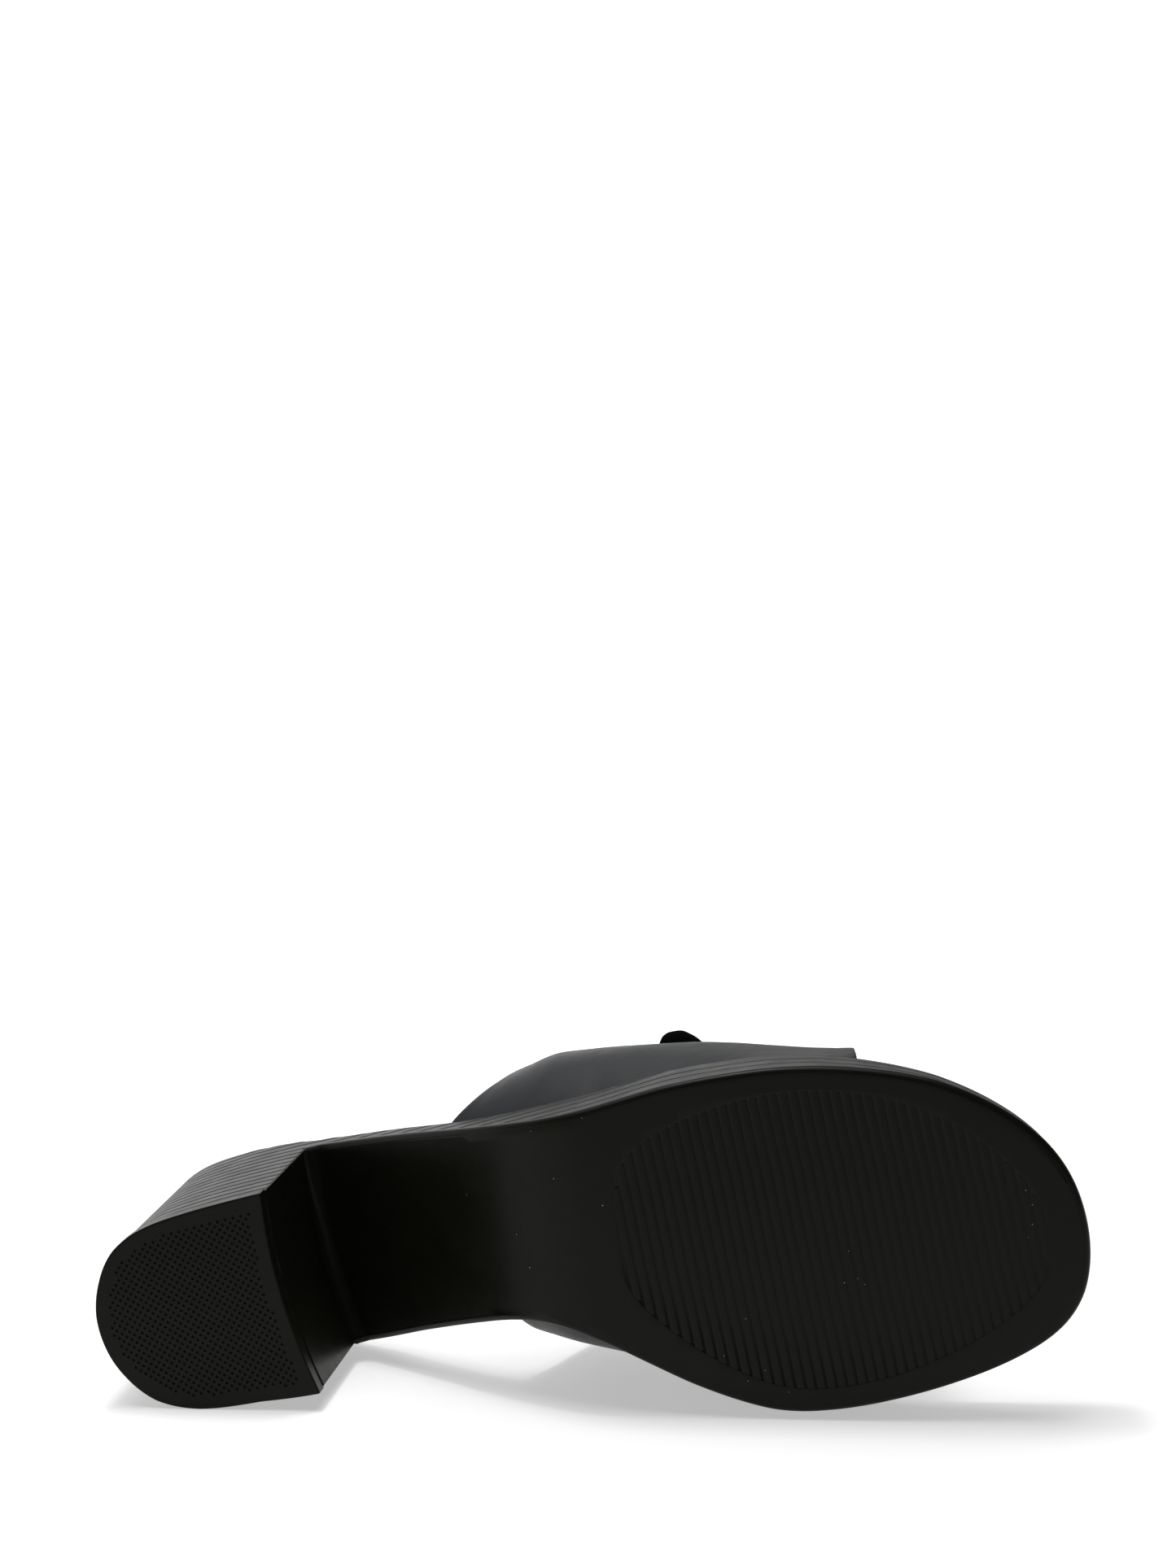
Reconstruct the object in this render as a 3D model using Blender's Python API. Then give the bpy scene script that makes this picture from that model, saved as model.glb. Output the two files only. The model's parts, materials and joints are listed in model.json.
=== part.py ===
"""Heeled platform mule for the right foot, lying on its inner side.

The shoe is modelled standing, in the shoe frame: X runs from the back of the heel to the toe,
Y to the inner side of the foot and Z up from the ground. An empty then lays it down on its
inner side, with the sole facing -Y, as the sole, heel and vamp would rest on a floor.
"""

import math

import bmesh
import bpy
import numpy as np
from mathutils import Matrix, Vector

MM = 0.001

# Overall sizes
SOLE_LENGTH = 239.2 * MM
BALL_WIDTH = 82.7 * MM
WAIST_WIDTH = 47.9 * MM
HEEL_WIDTH = 50.0 * MM
HEEL_HEIGHT = 49.5 * MM
TOE_SPRING = 1.6 * MM
SPRING_SHARE = 0.84

# Thickness of the pieces of the bottom
TOP_PIECE = 5.0 * MM
OUTSOLE = 3.0 * MM
SEAT_BODY = 23.5 * MM
SHANK_BODY = 11.2 * MM
PLATFORM_BODY = 17.4 * MM
INSOLE = 3.0 * MM
GAP = 0.3 * MM

# Layer lines around the heel and the platform
LAYERS_IN_HEEL = 10
LINE_HEIGHT = 0.8 * MM
LINE_DEPTH = 0.5 * MM
WALL_INSET = 0.4 * MM
WALL_FLARE = 1.0 * MM

# Front of the heel, as distances from the back of the heel
BREAST_OUTER = 43.8 * MM
BREAST_INNER = 53.2 * MM
BREAST_HOLLOW = 2.3 * MM

# Ribbed field under the forepart
FIELD_REAR = 129.0 * MM
FIELD_FRONT = 229.5 * MM
FIELD_MARGIN = 5.8 * MM
FIELD_DEPTH = 0.8 * MM
FIELD_CURVE = 5.0

# Vamp
UPPER_WALL = 2.0 * MM
UPPER_MARGIN = 0.8 * MM
INSTEP_HEIGHT = 66.5 * MM
VAMP_BACK_OUTER = 84.6 * MM
VAMP_BACK_INNER = 95.0 * MM
VAMP_BACK_CROWN = 119.0 * MM
VAMP_FRONT_OUTER = 188.0 * MM
VAMP_FRONT_INNER = 183.0 * MM
VAMP_FRONT_HOLLOW = 3.0 * MM
VAMP_BACK_CURVE = 1.3
VAMP_FRONT_CURVE = 2.5
VAMP_ARCH_CURVE = 2.15
FOOT_SHARE = 0.14

# Insole edge, inside the edge of the platform
INSOLE_MARGIN = 1.4 * MM
INSOLE_BLEND = 12.0 * MM

# Folded tab on the outer side of the vamp
TAB_REAR = 135.2 * MM
TAB_LENGTH = 13.0 * MM
TAB_HEIGHT = 5.2 * MM
TAB_START_SHARE = 0.25
TAB_END_SHARE = 0.35

# Fineness of the meshes
OUTLINE_STEPS = 2
PROFILE_STEPS = 44
VAMP_STEPS = 17
GIRTH_STEPS = 30
TAB_STEPS = 6
ROUND_EDGE = 35.0
TAB_ROUND_EDGE = 50.0

# Steepest lie of the face that the shoe rests on, in degrees from its inner side
LIE_LIMIT = 40.0

WIDTHS = {"heel": HEEL_WIDTH, "waist": WAIST_WIDTH, "ball": BALL_WIDTH}
BODIES = {"seat": SEAT_BODY, "shank": SHANK_BODY, "platform": PLATFORM_BODY}

# Tread outline: station along the sole, outer and inner edge as shares of the named width
OUTLINE_ROWS = (
    # station, outer, inner, width
    (0.000, 0.040, 0.040, "heel"),
    (0.007, -0.130, 0.214, "heel"),
    (0.023, -0.266, 0.348, "heel"),
    (0.052, -0.362, 0.474, "heel"),
    (0.097, -0.428, 0.531, "heel"),
    (0.160, -0.488, 0.514, "heel"),
    (0.231, -0.546, 0.486, "heel"),
    (0.306, -0.642, 0.400, "waist"),
    (0.386, -0.712, 0.292, "waist"),
    (0.432, -0.752, 0.255, "waist"),
    (0.474, -0.787, 0.276, "waist"),
    (0.526, -0.486, 0.222, "ball"),
    (0.596, -0.531, 0.336, "ball"),
    (0.675, -0.557, 0.428, "ball"),
    (0.726, -0.560, 0.442, "ball"),
    (0.789, -0.543, 0.426, "ball"),
    (0.865, -0.490, 0.378, "ball"),
    (0.928, -0.390, 0.313, "ball"),
    (0.968, -0.281, 0.241, "ball"),
    (0.991, -0.157, 0.148, "ball"),
    (1.000, 0.006, 0.006, "ball"),
)

# Side profile: tread height as a share of the heel height, body over it as a share of the
# named thickness, and the outward flare of the wall at its top as a share of the full flare
PROFILE_ROWS = (
    # station, tread, body, thickness, flare
    (0.000, 1.000, 1.000, "seat", 0.8),
    (0.080, 1.000, 0.915, "seat", 0.3),
    (0.118, 1.000, 0.813, "seat", 0.4),
    (0.164, 1.000, 0.640, "seat", 0.3),
    (0.198, 0.996, 0.965, "shank", 0.1),
    (0.227, 0.925, 0.970, "shank", 0.0),
    (0.264, 0.802, 1.020, "shank", 0.0),
    (0.306, 0.643, 1.040, "shank", 0.0),
    (0.348, 0.474, 1.110, "shank", 0.0),
    (0.390, 0.310, 1.310, "shank", 0.1),
    (0.432, 0.166, 0.977, "platform", 0.4),
    (0.474, 0.058, 1.140, "platform", 0.8),
    (0.508, 0.012, 1.180, "platform", 0.8),
    (0.550, 0.000, 1.115, "platform", 0.8),
    (0.600, 0.000, 1.069, "platform", 1.0),
    (0.660, 0.000, 1.034, "platform", 0.6),
    (0.714, 0.000, 1.000, "platform", 0.3),
    (0.768, 0.000, 0.966, "platform", -0.1),
    (0.831, 0.000, 0.931, "platform", -0.8),
    (0.894, 0.000, 0.908, "platform", -1.3),
    (1.000, 0.000, 0.900, "platform", -1.6),
)

# Vamp sections: widest points as shares of the ball width, their rise over the platform and
# the crown's rise as shares of the instep height
VAMP_ROWS = (
    # station, outer, outer_rise, inner, inner_rise, crown, crown_side
    (0.357, -0.428, 0.105, 0.186, 0.150, 1.000, -0.060),
    (0.399, -0.478, 0.210, 0.252, 0.230, 1.015, -0.055),
    (0.432, -0.512, 0.275, 0.296, 0.300, 1.010, -0.050),
    (0.466, -0.545, 0.300, 0.332, 0.330, 1.000, -0.050),
    (0.500, -0.556, 0.315, 0.356, 0.340, 0.960, -0.045),
    (0.533, -0.562, 0.310, 0.378, 0.325, 0.900, -0.040),
    (0.567, -0.566, 0.290, 0.400, 0.295, 0.840, -0.040),
    (0.609, -0.568, 0.265, 0.424, 0.260, 0.770, -0.040),
    (0.651, -0.564, 0.235, 0.446, 0.225, 0.695, -0.045),
    (0.697, -0.554, 0.200, 0.460, 0.190, 0.620, -0.050),
    (0.739, -0.544, 0.175, 0.460, 0.165, 0.560, -0.055),
    (0.790, -0.537, 0.150, 0.444, 0.145, 0.500, -0.060),
)

# Ridge of the folded tab: share of its length and of its height
TAB_ROWS = (
    # along, height
    (0.00, 0.20),
    (0.05, 0.66),
    (0.17, 0.90),
    (0.40, 1.00),
    (0.66, 0.72),
    (1.00, 0.16),
)


def column(rows, index, scale=1.0):
    """Returns a smooth function of the first column, through one column of a table.

    Its slope is zero where the column turns or is level, so it adds no dip or bump there.
    """
    stations = np.array([row[0] for row in rows])
    values = np.array([row[index] for row in rows]) * scale
    secants = np.diff(values) / np.diff(stations)
    slopes = [secants[0]]
    for before, after in zip(secants, secants[1:]):
        level = before * after <= 0.0
        slopes.append(0.0 if level else 2.0 * before * after / (before + after))
    slopes.append(secants[-1])

    def at(station):
        place = np.clip(station, stations[0], stations[-1])
        cell = int(np.clip(np.searchsorted(stations, place) - 1, 0, len(stations) - 2))
        step = stations[cell + 1] - stations[cell]
        t = (place - stations[cell]) / step
        start, end = values[cell], values[cell + 1]
        bulge = (
            step * slopes[cell] * t * (1.0 - t) ** 2 - step * slopes[cell + 1] * t**2 * (1.0 - t)
        )
        return float(start + (end - start) * t * t * (3.0 - 2.0 * t) + bulge)

    return at


def sized_column(rows, index, names, sizes):
    """Returns a smooth function through a column whose rows are shares of named sizes."""
    sized = [(row[0], row[index] * sizes[row[names]]) for row in rows]
    return column(sized, 1)


TREAD = column(PROFILE_ROWS, 1, HEEL_HEIGHT)
BODY = sized_column(PROFILE_ROWS, 2, 3, BODIES)
FLARE = column(PROFILE_ROWS, 4, WALL_FLARE)


def tread_height(x):
    """Height of the tread over the ground, with the arch and the toe spring."""
    station = x / SOLE_LENGTH
    lift = max(0.0, (station - SPRING_SHARE) / (1.0 - SPRING_SHARE))
    return TREAD(station) + TOE_SPRING * lift**2


def underside(x):
    """Height of the platform's underside: over the outsole, and over the heel block."""
    return tread_height(x) + OUTSOLE


def topside(x):
    """Height of the platform's top, which carries insole and vamp."""
    return tread_height(x) + BODY(x / SOLE_LENGTH)


def smooth_loop(points, steps):
    """Samples a closed centripetal Catmull-Rom curve through the points."""
    count = len(points)
    loop = []
    for index in range(count):
        p = [np.array(points[(index + shift) % count]) for shift in (-1, 0, 1, 2)]
        knots = [0.0]
        for before, after in zip(p, p[1:]):
            knots.append(knots[-1] + math.sqrt(float(np.linalg.norm(after - before))))
        for step in range(steps):
            t = knots[1] + (knots[2] - knots[1]) * step / steps
            row, level = list(p), 1
            while len(row) > 1:
                row = [
                    ((knots[i + level] - t) * a + (t - knots[i]) * b) / (knots[i + level] - knots[i])
                    for i, (a, b) in enumerate(zip(row, row[1:]))
                ]
                level += 1
            loop.append((float(row[0][0]), float(row[0][1])))
    return loop


def tread_loop():
    """Outline of the tread, seen from above, from the back of the heel round the outer side."""
    outer = [(row[0] * SOLE_LENGTH, row[1] * WIDTHS[row[3]]) for row in OUTLINE_ROWS]
    inner = [(row[0] * SOLE_LENGTH, row[2] * WIDTHS[row[3]]) for row in OUTLINE_ROWS[1:-1]]
    return smooth_loop(outer + inner[::-1], OUTLINE_STEPS)


def grown(loop, amounts):
    """Moves each point of a plan loop outwards by its own amount."""
    points = np.array(loop)
    along = np.roll(points, -1, axis=0) - np.roll(points, 1, axis=0)
    along /= np.linalg.norm(along, axis=1)[:, None]
    outward = np.stack((along[:, 1], -along[:, 0]), axis=1)
    return points + outward * np.array(amounts)[:, None]


TREAD_LOOP = tread_loop()


def wall_loop(height, depth):
    """Outline of the platform and heel wall at one height, less the depth of a layer line."""
    amounts = [
        FLARE(x / SOLE_LENGTH) * height / topside(x) - WALL_INSET - depth for x, _ in TREAD_LOOP
    ]
    return [(x, y, height) for x, y in grown(TREAD_LOOP, amounts)]


def side_at(x, inner, inset):
    """Across position of the tread's outer or inner edge at x, less an inset."""
    turn = len(TREAD_LOOP) // 2
    loop = grown(TREAD_LOOP, [-inset] * len(TREAD_LOOP))
    half = loop[turn:] if inner else loop[: turn + 1]
    order = np.argsort(half[:, 0])
    return float(np.interp(x, half[order, 0], half[order, 1]))


def breast_x(y):
    """Place of the heel's front face at y: a shallow arc between its two corners."""
    outer_y = side_at(BREAST_OUTER, False, 0.0)
    inner_y = side_at(BREAST_INNER, True, 0.0)
    share = (y - outer_y) / (inner_y - outer_y)
    chord = BREAST_OUTER + (BREAST_INNER - BREAST_OUTER) * share
    return chord - BREAST_HOLLOW * 4.0 * share * (1.0 - share)


def new_object(name, verts, faces):
    """Makes a mesh object in the shoe frame, with its faces pointing out."""
    mesh = bpy.data.meshes.new(name)
    bm = bmesh.new()
    corners = [bm.verts.new(Vector(vert)) for vert in verts]
    for face in faces:
        bm.faces.new([corners[index] for index in face])
    bmesh.ops.recalc_face_normals(bm, faces=bm.faces)
    bm.to_mesh(mesh)
    bm.free()
    obj = bpy.data.objects.new(name, mesh)
    bpy.context.collection.objects.link(obj)
    return obj


def stacked(name, loops):
    """Skins a stack of loops with equal counts, and closes both ends."""
    count = len(loops[0])
    verts = [point for loop in loops for point in loop]
    faces = [tuple(range(count)), tuple((len(loops) - 1) * count + i for i in range(count))]
    for level in range(len(loops) - 1):
        low, high = level * count, (level + 1) * count
        for i in range(count):
            j = (i + 1) % count
            faces.append((low + i, low + j, high + j, high + i))
    return new_object(name, verts, faces)


def prism(name, loop, bottom, top):
    """Makes an upright prism over a plan loop."""
    return stacked(name, [[(x, y, height) for x, y in loop] for height in (bottom, top)])


def layered_wall(name, bottom, top):
    """Makes a solid with the outline of the wall, crossed by level layer lines."""
    pitch = HEEL_HEIGHT / LAYERS_IN_HEEL
    loops = [wall_loop(bottom, 0.0)]
    line = OUTSOLE - GAP / 2.0
    while line < top - LINE_HEIGHT:
        if line > bottom + LINE_HEIGHT:
            loops.append(wall_loop(line - LINE_HEIGHT / 2.0, 0.0))
            loops.append(wall_loop(line, LINE_DEPTH))
            loops.append(wall_loop(line + LINE_HEIGHT / 2.0, 0.0))
        line += pitch
    loops.append(wall_loop(top, 0.0))
    return stacked(name, loops)


def side_band(name, low, high, length=SOLE_LENGTH):
    """Makes a cutter with two profiles of the side view, wider than the shoe."""
    overhang = 0.1 * SOLE_LENGTH
    steps = math.ceil(PROFILE_STEPS * length / SOLE_LENGTH)
    inside = [SOLE_LENGTH * i / PROFILE_STEPS for i in range(steps + 1)]
    xs = [-overhang] + inside + [inside[-1] + overhang]
    profile = [(x, low(x)) for x in xs] + [(x, high(x)) for x in reversed(xs)]
    loops = [[(x, y, z) for x, z in profile] for y in (-BALL_WIDTH, BALL_WIDTH)]
    return stacked(name, loops)


def breast_cutter(name, clearance, front):
    """Makes a cutter for what lies before, or behind, the front face of the heel."""
    ys = [-BALL_WIDTH + 2.0 * BALL_WIDTH * i / PROFILE_STEPS for i in range(PROFILE_STEPS + 1)]
    far = 1.2 * SOLE_LENGTH if front else -0.2 * SOLE_LENGTH
    edge = [(breast_x(np.clip(y, -HEEL_WIDTH, HEEL_WIDTH)) + clearance, y) for y in ys]
    loop = edge + [(far, BALL_WIDTH), (far, -BALL_WIDTH)]
    return prism(name, loop, -HEEL_HEIGHT, 3.0 * HEEL_HEIGHT)


def shape(obj, cutter, operation):
    """Cuts a piece with a guide, which stays in the scene as wire."""
    modifier = obj.modifiers.new(cutter.name, "BOOLEAN")
    modifier.object = cutter
    modifier.operation = operation
    cutter.hide_render = True
    cutter.display_type = "WIRE"


def finish(obj, material, angle=ROUND_EDGE):
    """Gives a piece its material and smooth shading over its round faces."""
    obj.data.materials.append(material)
    obj.data.shade_smooth()
    obj.data.set_sharp_from_angle(angle=math.radians(angle))
    return obj


def make_material(name, colour, roughness):
    """Makes a plain opaque material."""
    material = bpy.data.materials.new(name)
    material.use_nodes = True
    shader = material.node_tree.nodes["Principled BSDF"]
    shader.inputs["Base Color"].default_value = (*colour, 1.0)
    shader.inputs["Roughness"].default_value = roughness
    shader.inputs["Metallic"].default_value = 0.0
    return material


def make_top_piece(material):
    """The rubber lift that the heel stands on."""
    loop = grown(TREAD_LOOP, [0.0] * len(TREAD_LOOP))
    piece = prism("top_piece", loop, 0.0, TOP_PIECE - GAP)
    shape(piece, breast_cutter("guide_top_piece", 0.0, True), "DIFFERENCE")
    return finish(piece, material)


def make_heel_block(material):
    """The heel between top piece and seat, with level layer lines."""
    piece = layered_wall("heel_block", TOP_PIECE / 2.0, HEEL_HEIGHT + 2.0 * OUTSOLE)
    band = side_band(
        "guide_heel_height", lambda x: TOP_PIECE, lambda x: underside(x) - GAP, BREAST_INNER
    )
    shape(piece, band, "INTERSECT")
    shape(piece, breast_cutter("guide_heel_breast", 0.0, True), "DIFFERENCE")
    return finish(piece, material)


def make_platform(material):
    """The wedge from seat to toe, with the layer lines of the heel carried round it."""
    top = HEEL_HEIGHT + SEAT_BODY + OUTSOLE
    piece = layered_wall("platform", OUTSOLE / 2.0, top)
    shape(piece, side_band("guide_platform", underside, topside), "INTERSECT")
    return finish(piece, material)


def field_loop():
    """Outline of the ribbed field: the tread's own outline, inset, with squared round ends."""
    middle = (FIELD_FRONT + FIELD_REAR) / 2.0
    half = (FIELD_FRONT - FIELD_REAR) / 2.0
    outer, inner = [], []
    for i in range(PROFILE_STEPS // 2 + 1):
        angle = math.pi * i / (PROFILE_STEPS // 2)
        x = middle - half * math.cos(angle)
        fill = max(math.sin(angle), 0.0) ** (2.0 / FIELD_CURVE)
        edges = [side_at(x, side, FIELD_MARGIN) for side in (False, True)]
        centre = sum(edges) / 2.0
        outer.append((x, centre + (edges[0] - centre) * fill))
        inner.append((x, centre + (edges[1] - centre) * fill))
    return outer + inner[-2:0:-1]


def make_outsole(material):
    """The tread sheet from the heel's front face to the toe, with its sunk ribbed field."""
    loop = grown(TREAD_LOOP, [0.0] * len(TREAD_LOOP))
    piece = prism("outsole", loop, -OUTSOLE, HEEL_HEIGHT + 2.0 * OUTSOLE)
    band = side_band("guide_outsole", tread_height, lambda x: underside(x) - GAP)
    shape(piece, band, "INTERSECT")
    shape(piece, breast_cutter("guide_outsole_end", GAP, False), "DIFFERENCE")
    field = prism("guide_field", field_loop(), -OUTSOLE, FIELD_DEPTH)
    shape(piece, field, "DIFFERENCE")
    return finish(piece, material)


def insole_inset(x):
    """Inset of the insole: clear of the vamp where it passes, and near the edge elsewhere."""
    under_vamp = UPPER_MARGIN + UPPER_WALL + GAP
    before = (x - (VAMP_BACK_OUTER - 2.0 * INSOLE_BLEND)) / INSOLE_BLEND
    after = (VAMP_FRONT_OUTER + 2.0 * INSOLE_BLEND - x) / INSOLE_BLEND
    share = min(max(min(before, after), 0.0), 1.0)
    return INSOLE_MARGIN + (under_vamp - INSOLE_MARGIN) * share * share * (3.0 - 2.0 * share)


def top_edge_grow(x):
    """How far the platform's top edge lies outside the tread outline."""
    return FLARE(x / SOLE_LENGTH) - WALL_INSET


def make_insole(material):
    """The padded footbed on the platform."""
    amounts = [top_edge_grow(x) - insole_inset(x) for x, _ in TREAD_LOOP]
    piece = prism("insole", grown(TREAD_LOOP, amounts), 0.0, 2.0 * HEEL_HEIGHT)
    band = side_band(
        "guide_insole", lambda x: topside(x) + GAP, lambda x: topside(x) + GAP + INSOLE
    )
    shape(piece, band, "INTERSECT")
    return finish(piece, material)


VAMP = {
    "outer": column(VAMP_ROWS, 1, BALL_WIDTH),
    "outer_rise": column(VAMP_ROWS, 2, INSTEP_HEIGHT),
    "inner": column(VAMP_ROWS, 3, BALL_WIDTH),
    "inner_rise": column(VAMP_ROWS, 4, INSTEP_HEIGHT),
    "crown": column(VAMP_ROWS, 5, INSTEP_HEIGHT),
    "crown_side": column(VAMP_ROWS, 6, BALL_WIDTH),
}


def vamp_section(x, girth):
    """Point of the vamp's outer face in the section at x, from outer foot (0) to inner (1)."""
    station = x / SOLE_LENGTH
    inner = girth > 0.5
    side = "inner" if inner else "outer"
    up = 1.0 - girth if inner else girth
    floor = topside(x) + GAP
    wide = VAMP[side](station)
    wide_z = floor + VAMP[side + "_rise"](station)
    if up < FOOT_SHARE:
        drop = 1.0 - up / FOOT_SHARE
        inset = UPPER_MARGIN - top_edge_grow(x)
        foot = side_at(x, inner, inset)
        return (x, wide + (foot - wide) * drop**2, wide_z + (floor - wide_z) * drop)
    turn = (up - FOOT_SHARE) / (0.5 - FOOT_SHARE) * math.pi / 2.0
    power = 2.0 / VAMP_ARCH_CURVE
    crown_y = VAMP["crown_side"](station)
    crown_z = floor + VAMP["crown"](station)
    y = crown_y + (wide - crown_y) * max(math.cos(turn), 0.0) ** power
    return (x, y, wide_z + (crown_z - wide_z) * math.sin(turn) ** power)


def vamp_point(girth, share):
    """Point of the vamp's outer face, from its back edge (0) to its front edge (1)."""
    rise = math.sin(math.pi * girth)
    back_foot = VAMP_BACK_OUTER if girth < 0.5 else VAMP_BACK_INNER
    back = back_foot + (VAMP_BACK_CROWN - back_foot) * rise**VAMP_BACK_CURVE
    front = VAMP_FRONT_OUTER + (VAMP_FRONT_INNER - VAMP_FRONT_OUTER) * girth
    front -= VAMP_FRONT_HOLLOW * rise**VAMP_FRONT_CURVE
    return vamp_section(back + (front - back) * share, girth)


def vamp_normal(girth, share):
    """Outward direction of the vamp at a point, from its neighbours."""
    d = 0.004
    g0, g1 = max(girth - d, 0.0), min(girth + d, 1.0)
    s0, s1 = max(share - d, 0.0), min(share + d, 1.0)
    across = Vector(vamp_point(g1, share)) - Vector(vamp_point(g0, share))
    along = Vector(vamp_point(girth, s1)) - Vector(vamp_point(girth, s0))
    return along.cross(across).normalized()


def vamp_grid(depth):
    """Rows of points on the vamp, sunk below its outer face by a depth."""
    rows = []
    for i in range(VAMP_STEPS + 1):
        share = i / VAMP_STEPS
        row = []
        for j in range(GIRTH_STEPS + 1):
            girth = j / GIRTH_STEPS
            point = Vector(vamp_point(girth, share))
            if j in (0, GIRTH_STEPS):
                point.y += depth if j == 0 else -depth
            else:
                point -= vamp_normal(girth, share) * depth
                point.z = max(point.z, topside(point.x) + GAP)
            row.append(tuple(point))
        rows.append(row)
    return rows


def make_upper(material):
    """The open-toe, open-back vamp: one wall that arches from edge to edge of the platform."""
    loops = []
    for outside, inside in zip(vamp_grid(0.0), vamp_grid(UPPER_WALL)):
        loops.append(outside + inside[::-1])
    return finish(stacked("upper", loops), material)


def make_tab(material):
    """The small folded tab that stands off the outer side of the vamp."""
    ridge = column(TAB_ROWS, 1, TAB_HEIGHT)
    loops = []
    for i in range(TAB_STEPS + 1):
        girth = TAB_START_SHARE + (TAB_END_SHARE - TAB_START_SHARE) * i / TAB_STEPS
        base, crest = [], []
        for j in range(2 * TAB_STEPS + 1):
            along = j / (2 * TAB_STEPS)
            share = vamp_share(girth, TAB_REAR + TAB_LENGTH * along)
            point = Vector(vamp_point(girth, share))
            normal = vamp_normal(girth, share)
            base.append(tuple(point + normal * GAP))
            crest.append(tuple(point + normal * (GAP + ridge(along))))
        loops.append(base + crest[::-1])
    return finish(stacked("vamp_tab", loops), material, TAB_ROUND_EDGE)


def vamp_share(girth, x):
    """Share of the way from the vamp's back to its front edge at which it passes x."""
    back, front = vamp_point(girth, 0.0)[0], vamp_point(girth, 1.0)[0]
    return (x - back) / (front - back)


def piece_vertices(objects):
    """World vertices and volume centre of the finished pieces."""
    graph = bpy.context.evaluated_depsgraph_get()
    points, moment, total = [], Vector(), 0.0
    for obj in objects:
        bm = bmesh.new()
        bm.from_object(obj, graph)
        bmesh.ops.triangulate(bm, faces=bm.faces)
        for face in bm.faces:
            a, b, c = (vert.co for vert in face.verts)
            volume = a.dot(b.cross(c)) / 6.0
            moment += (a + b + c) / 4.0 * volume
            total += volume
        points.extend(vert.co.copy() for vert in bm.verts)
        bm.free()
    return points, moment / total


def resting_matrix(objects):
    """Lays the shoe on the face of its hull, on the inner side, that carries its weight."""
    points, centre = piece_vertices(objects)
    bm = bmesh.new()
    for point in points:
        bm.verts.new(point)
    bmesh.ops.convex_hull(bm, input=bm.verts)
    down = None
    for face in bm.faces:
        if face.normal.y < math.cos(math.radians(LIE_LIMIT)):
            continue
        corners = [vert.co for vert in face.verts]
        foot = centre + face.normal * (corners[0] - centre).dot(face.normal)
        turns = [
            (corners[i] - corners[i - 1]).cross(foot - corners[i - 1]).dot(face.normal)
            for i in range(len(corners))
        ]
        if min(turns) >= 0.0:
            down = face.normal.copy()
    bm.free()
    up = -down
    forward = (Vector((1.0, 0.0, 0.0)) - up * up.x).normalized()
    turn = Matrix((forward, up.cross(forward), up)).to_4x4()
    laid = [turn @ point for point in points]
    low = [min(point[axis] for point in laid) for axis in range(3)]
    high = [max(point[axis] for point in laid) for axis in range(3)]
    shift = Vector(((low[0] + high[0]) / 2.0, (low[1] + high[1]) / 2.0, low[2]))
    return Matrix.Translation(-shift) @ turn


def main():
    """Builds the shoe and lays it down."""
    for obj in list(bpy.data.objects):
        bpy.data.objects.remove(obj, do_unlink=True)
    rubber = make_material("black_rubber", (0.012, 0.012, 0.011), 0.5)
    moulded = make_material("black_moulded_sole", (0.016, 0.016, 0.015), 0.42)
    leather = make_material("black_smooth_leather", (0.014, 0.016, 0.019), 0.38)
    lining = make_material("black_lining_leather", (0.02, 0.019, 0.018), 0.6)
    trim = make_material("black_trim", (0.006, 0.006, 0.006), 0.7)
    pieces = [
        make_top_piece(rubber),
        make_heel_block(moulded),
        make_platform(moulded),
        make_outsole(rubber),
        make_insole(lining),
        make_upper(leather),
        make_tab(trim),
    ]
    bpy.context.view_layer.update()
    shoe = bpy.data.objects.new("shoe", None)
    bpy.context.collection.objects.link(shoe)
    matrix = resting_matrix(pieces)
    for obj in bpy.data.objects:
        if obj is not shoe:
            obj.parent = shoe
    shoe.matrix_world = matrix
    bpy.context.view_layer.update()


main()
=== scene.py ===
"""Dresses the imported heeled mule: fine pieces, finishes, soft studio light and the camera.

Pieces are shaped in the shoe's own frame, in metres: X runs from the back of the heel to the
toe, Y to the inner side of the foot and Z up from the ground that the shoe would stand on.
Each finished mesh is then laid down on its inner side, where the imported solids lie.
"""

import json
import logging
import math
from collections.abc import Callable, Sequence
from dataclasses import dataclass, field
from enum import Enum
from functools import cached_property

import bmesh
import bpy
import numpy as np
from mathutils import Matrix, Vector, noise


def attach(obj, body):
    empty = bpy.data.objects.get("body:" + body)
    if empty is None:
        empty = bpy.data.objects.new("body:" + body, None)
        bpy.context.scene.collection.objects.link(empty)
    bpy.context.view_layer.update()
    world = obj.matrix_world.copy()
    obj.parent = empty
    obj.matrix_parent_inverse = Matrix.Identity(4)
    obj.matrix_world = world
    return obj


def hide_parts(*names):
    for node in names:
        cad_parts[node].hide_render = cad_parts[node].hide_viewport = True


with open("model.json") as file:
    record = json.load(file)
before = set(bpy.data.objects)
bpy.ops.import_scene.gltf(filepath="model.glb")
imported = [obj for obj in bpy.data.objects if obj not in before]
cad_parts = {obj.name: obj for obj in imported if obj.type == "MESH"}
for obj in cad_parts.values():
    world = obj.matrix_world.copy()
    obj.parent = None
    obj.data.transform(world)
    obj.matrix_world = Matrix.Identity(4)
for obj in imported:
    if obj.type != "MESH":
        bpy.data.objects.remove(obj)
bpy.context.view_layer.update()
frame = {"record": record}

LOG = logging.getLogger("mule")
MM = 0.001
ROOT = "root"
IMAGE_SIZE = (1445, 1927)
SENSOR_MM = 36.0
MERGE = 0.004 * MM
SHEET_SIZE = 10.0 * MM
# A row this close to a rounded edge keeps the flat wall beside it evenly shaded.
HOLD = 0.03 * MM
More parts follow.
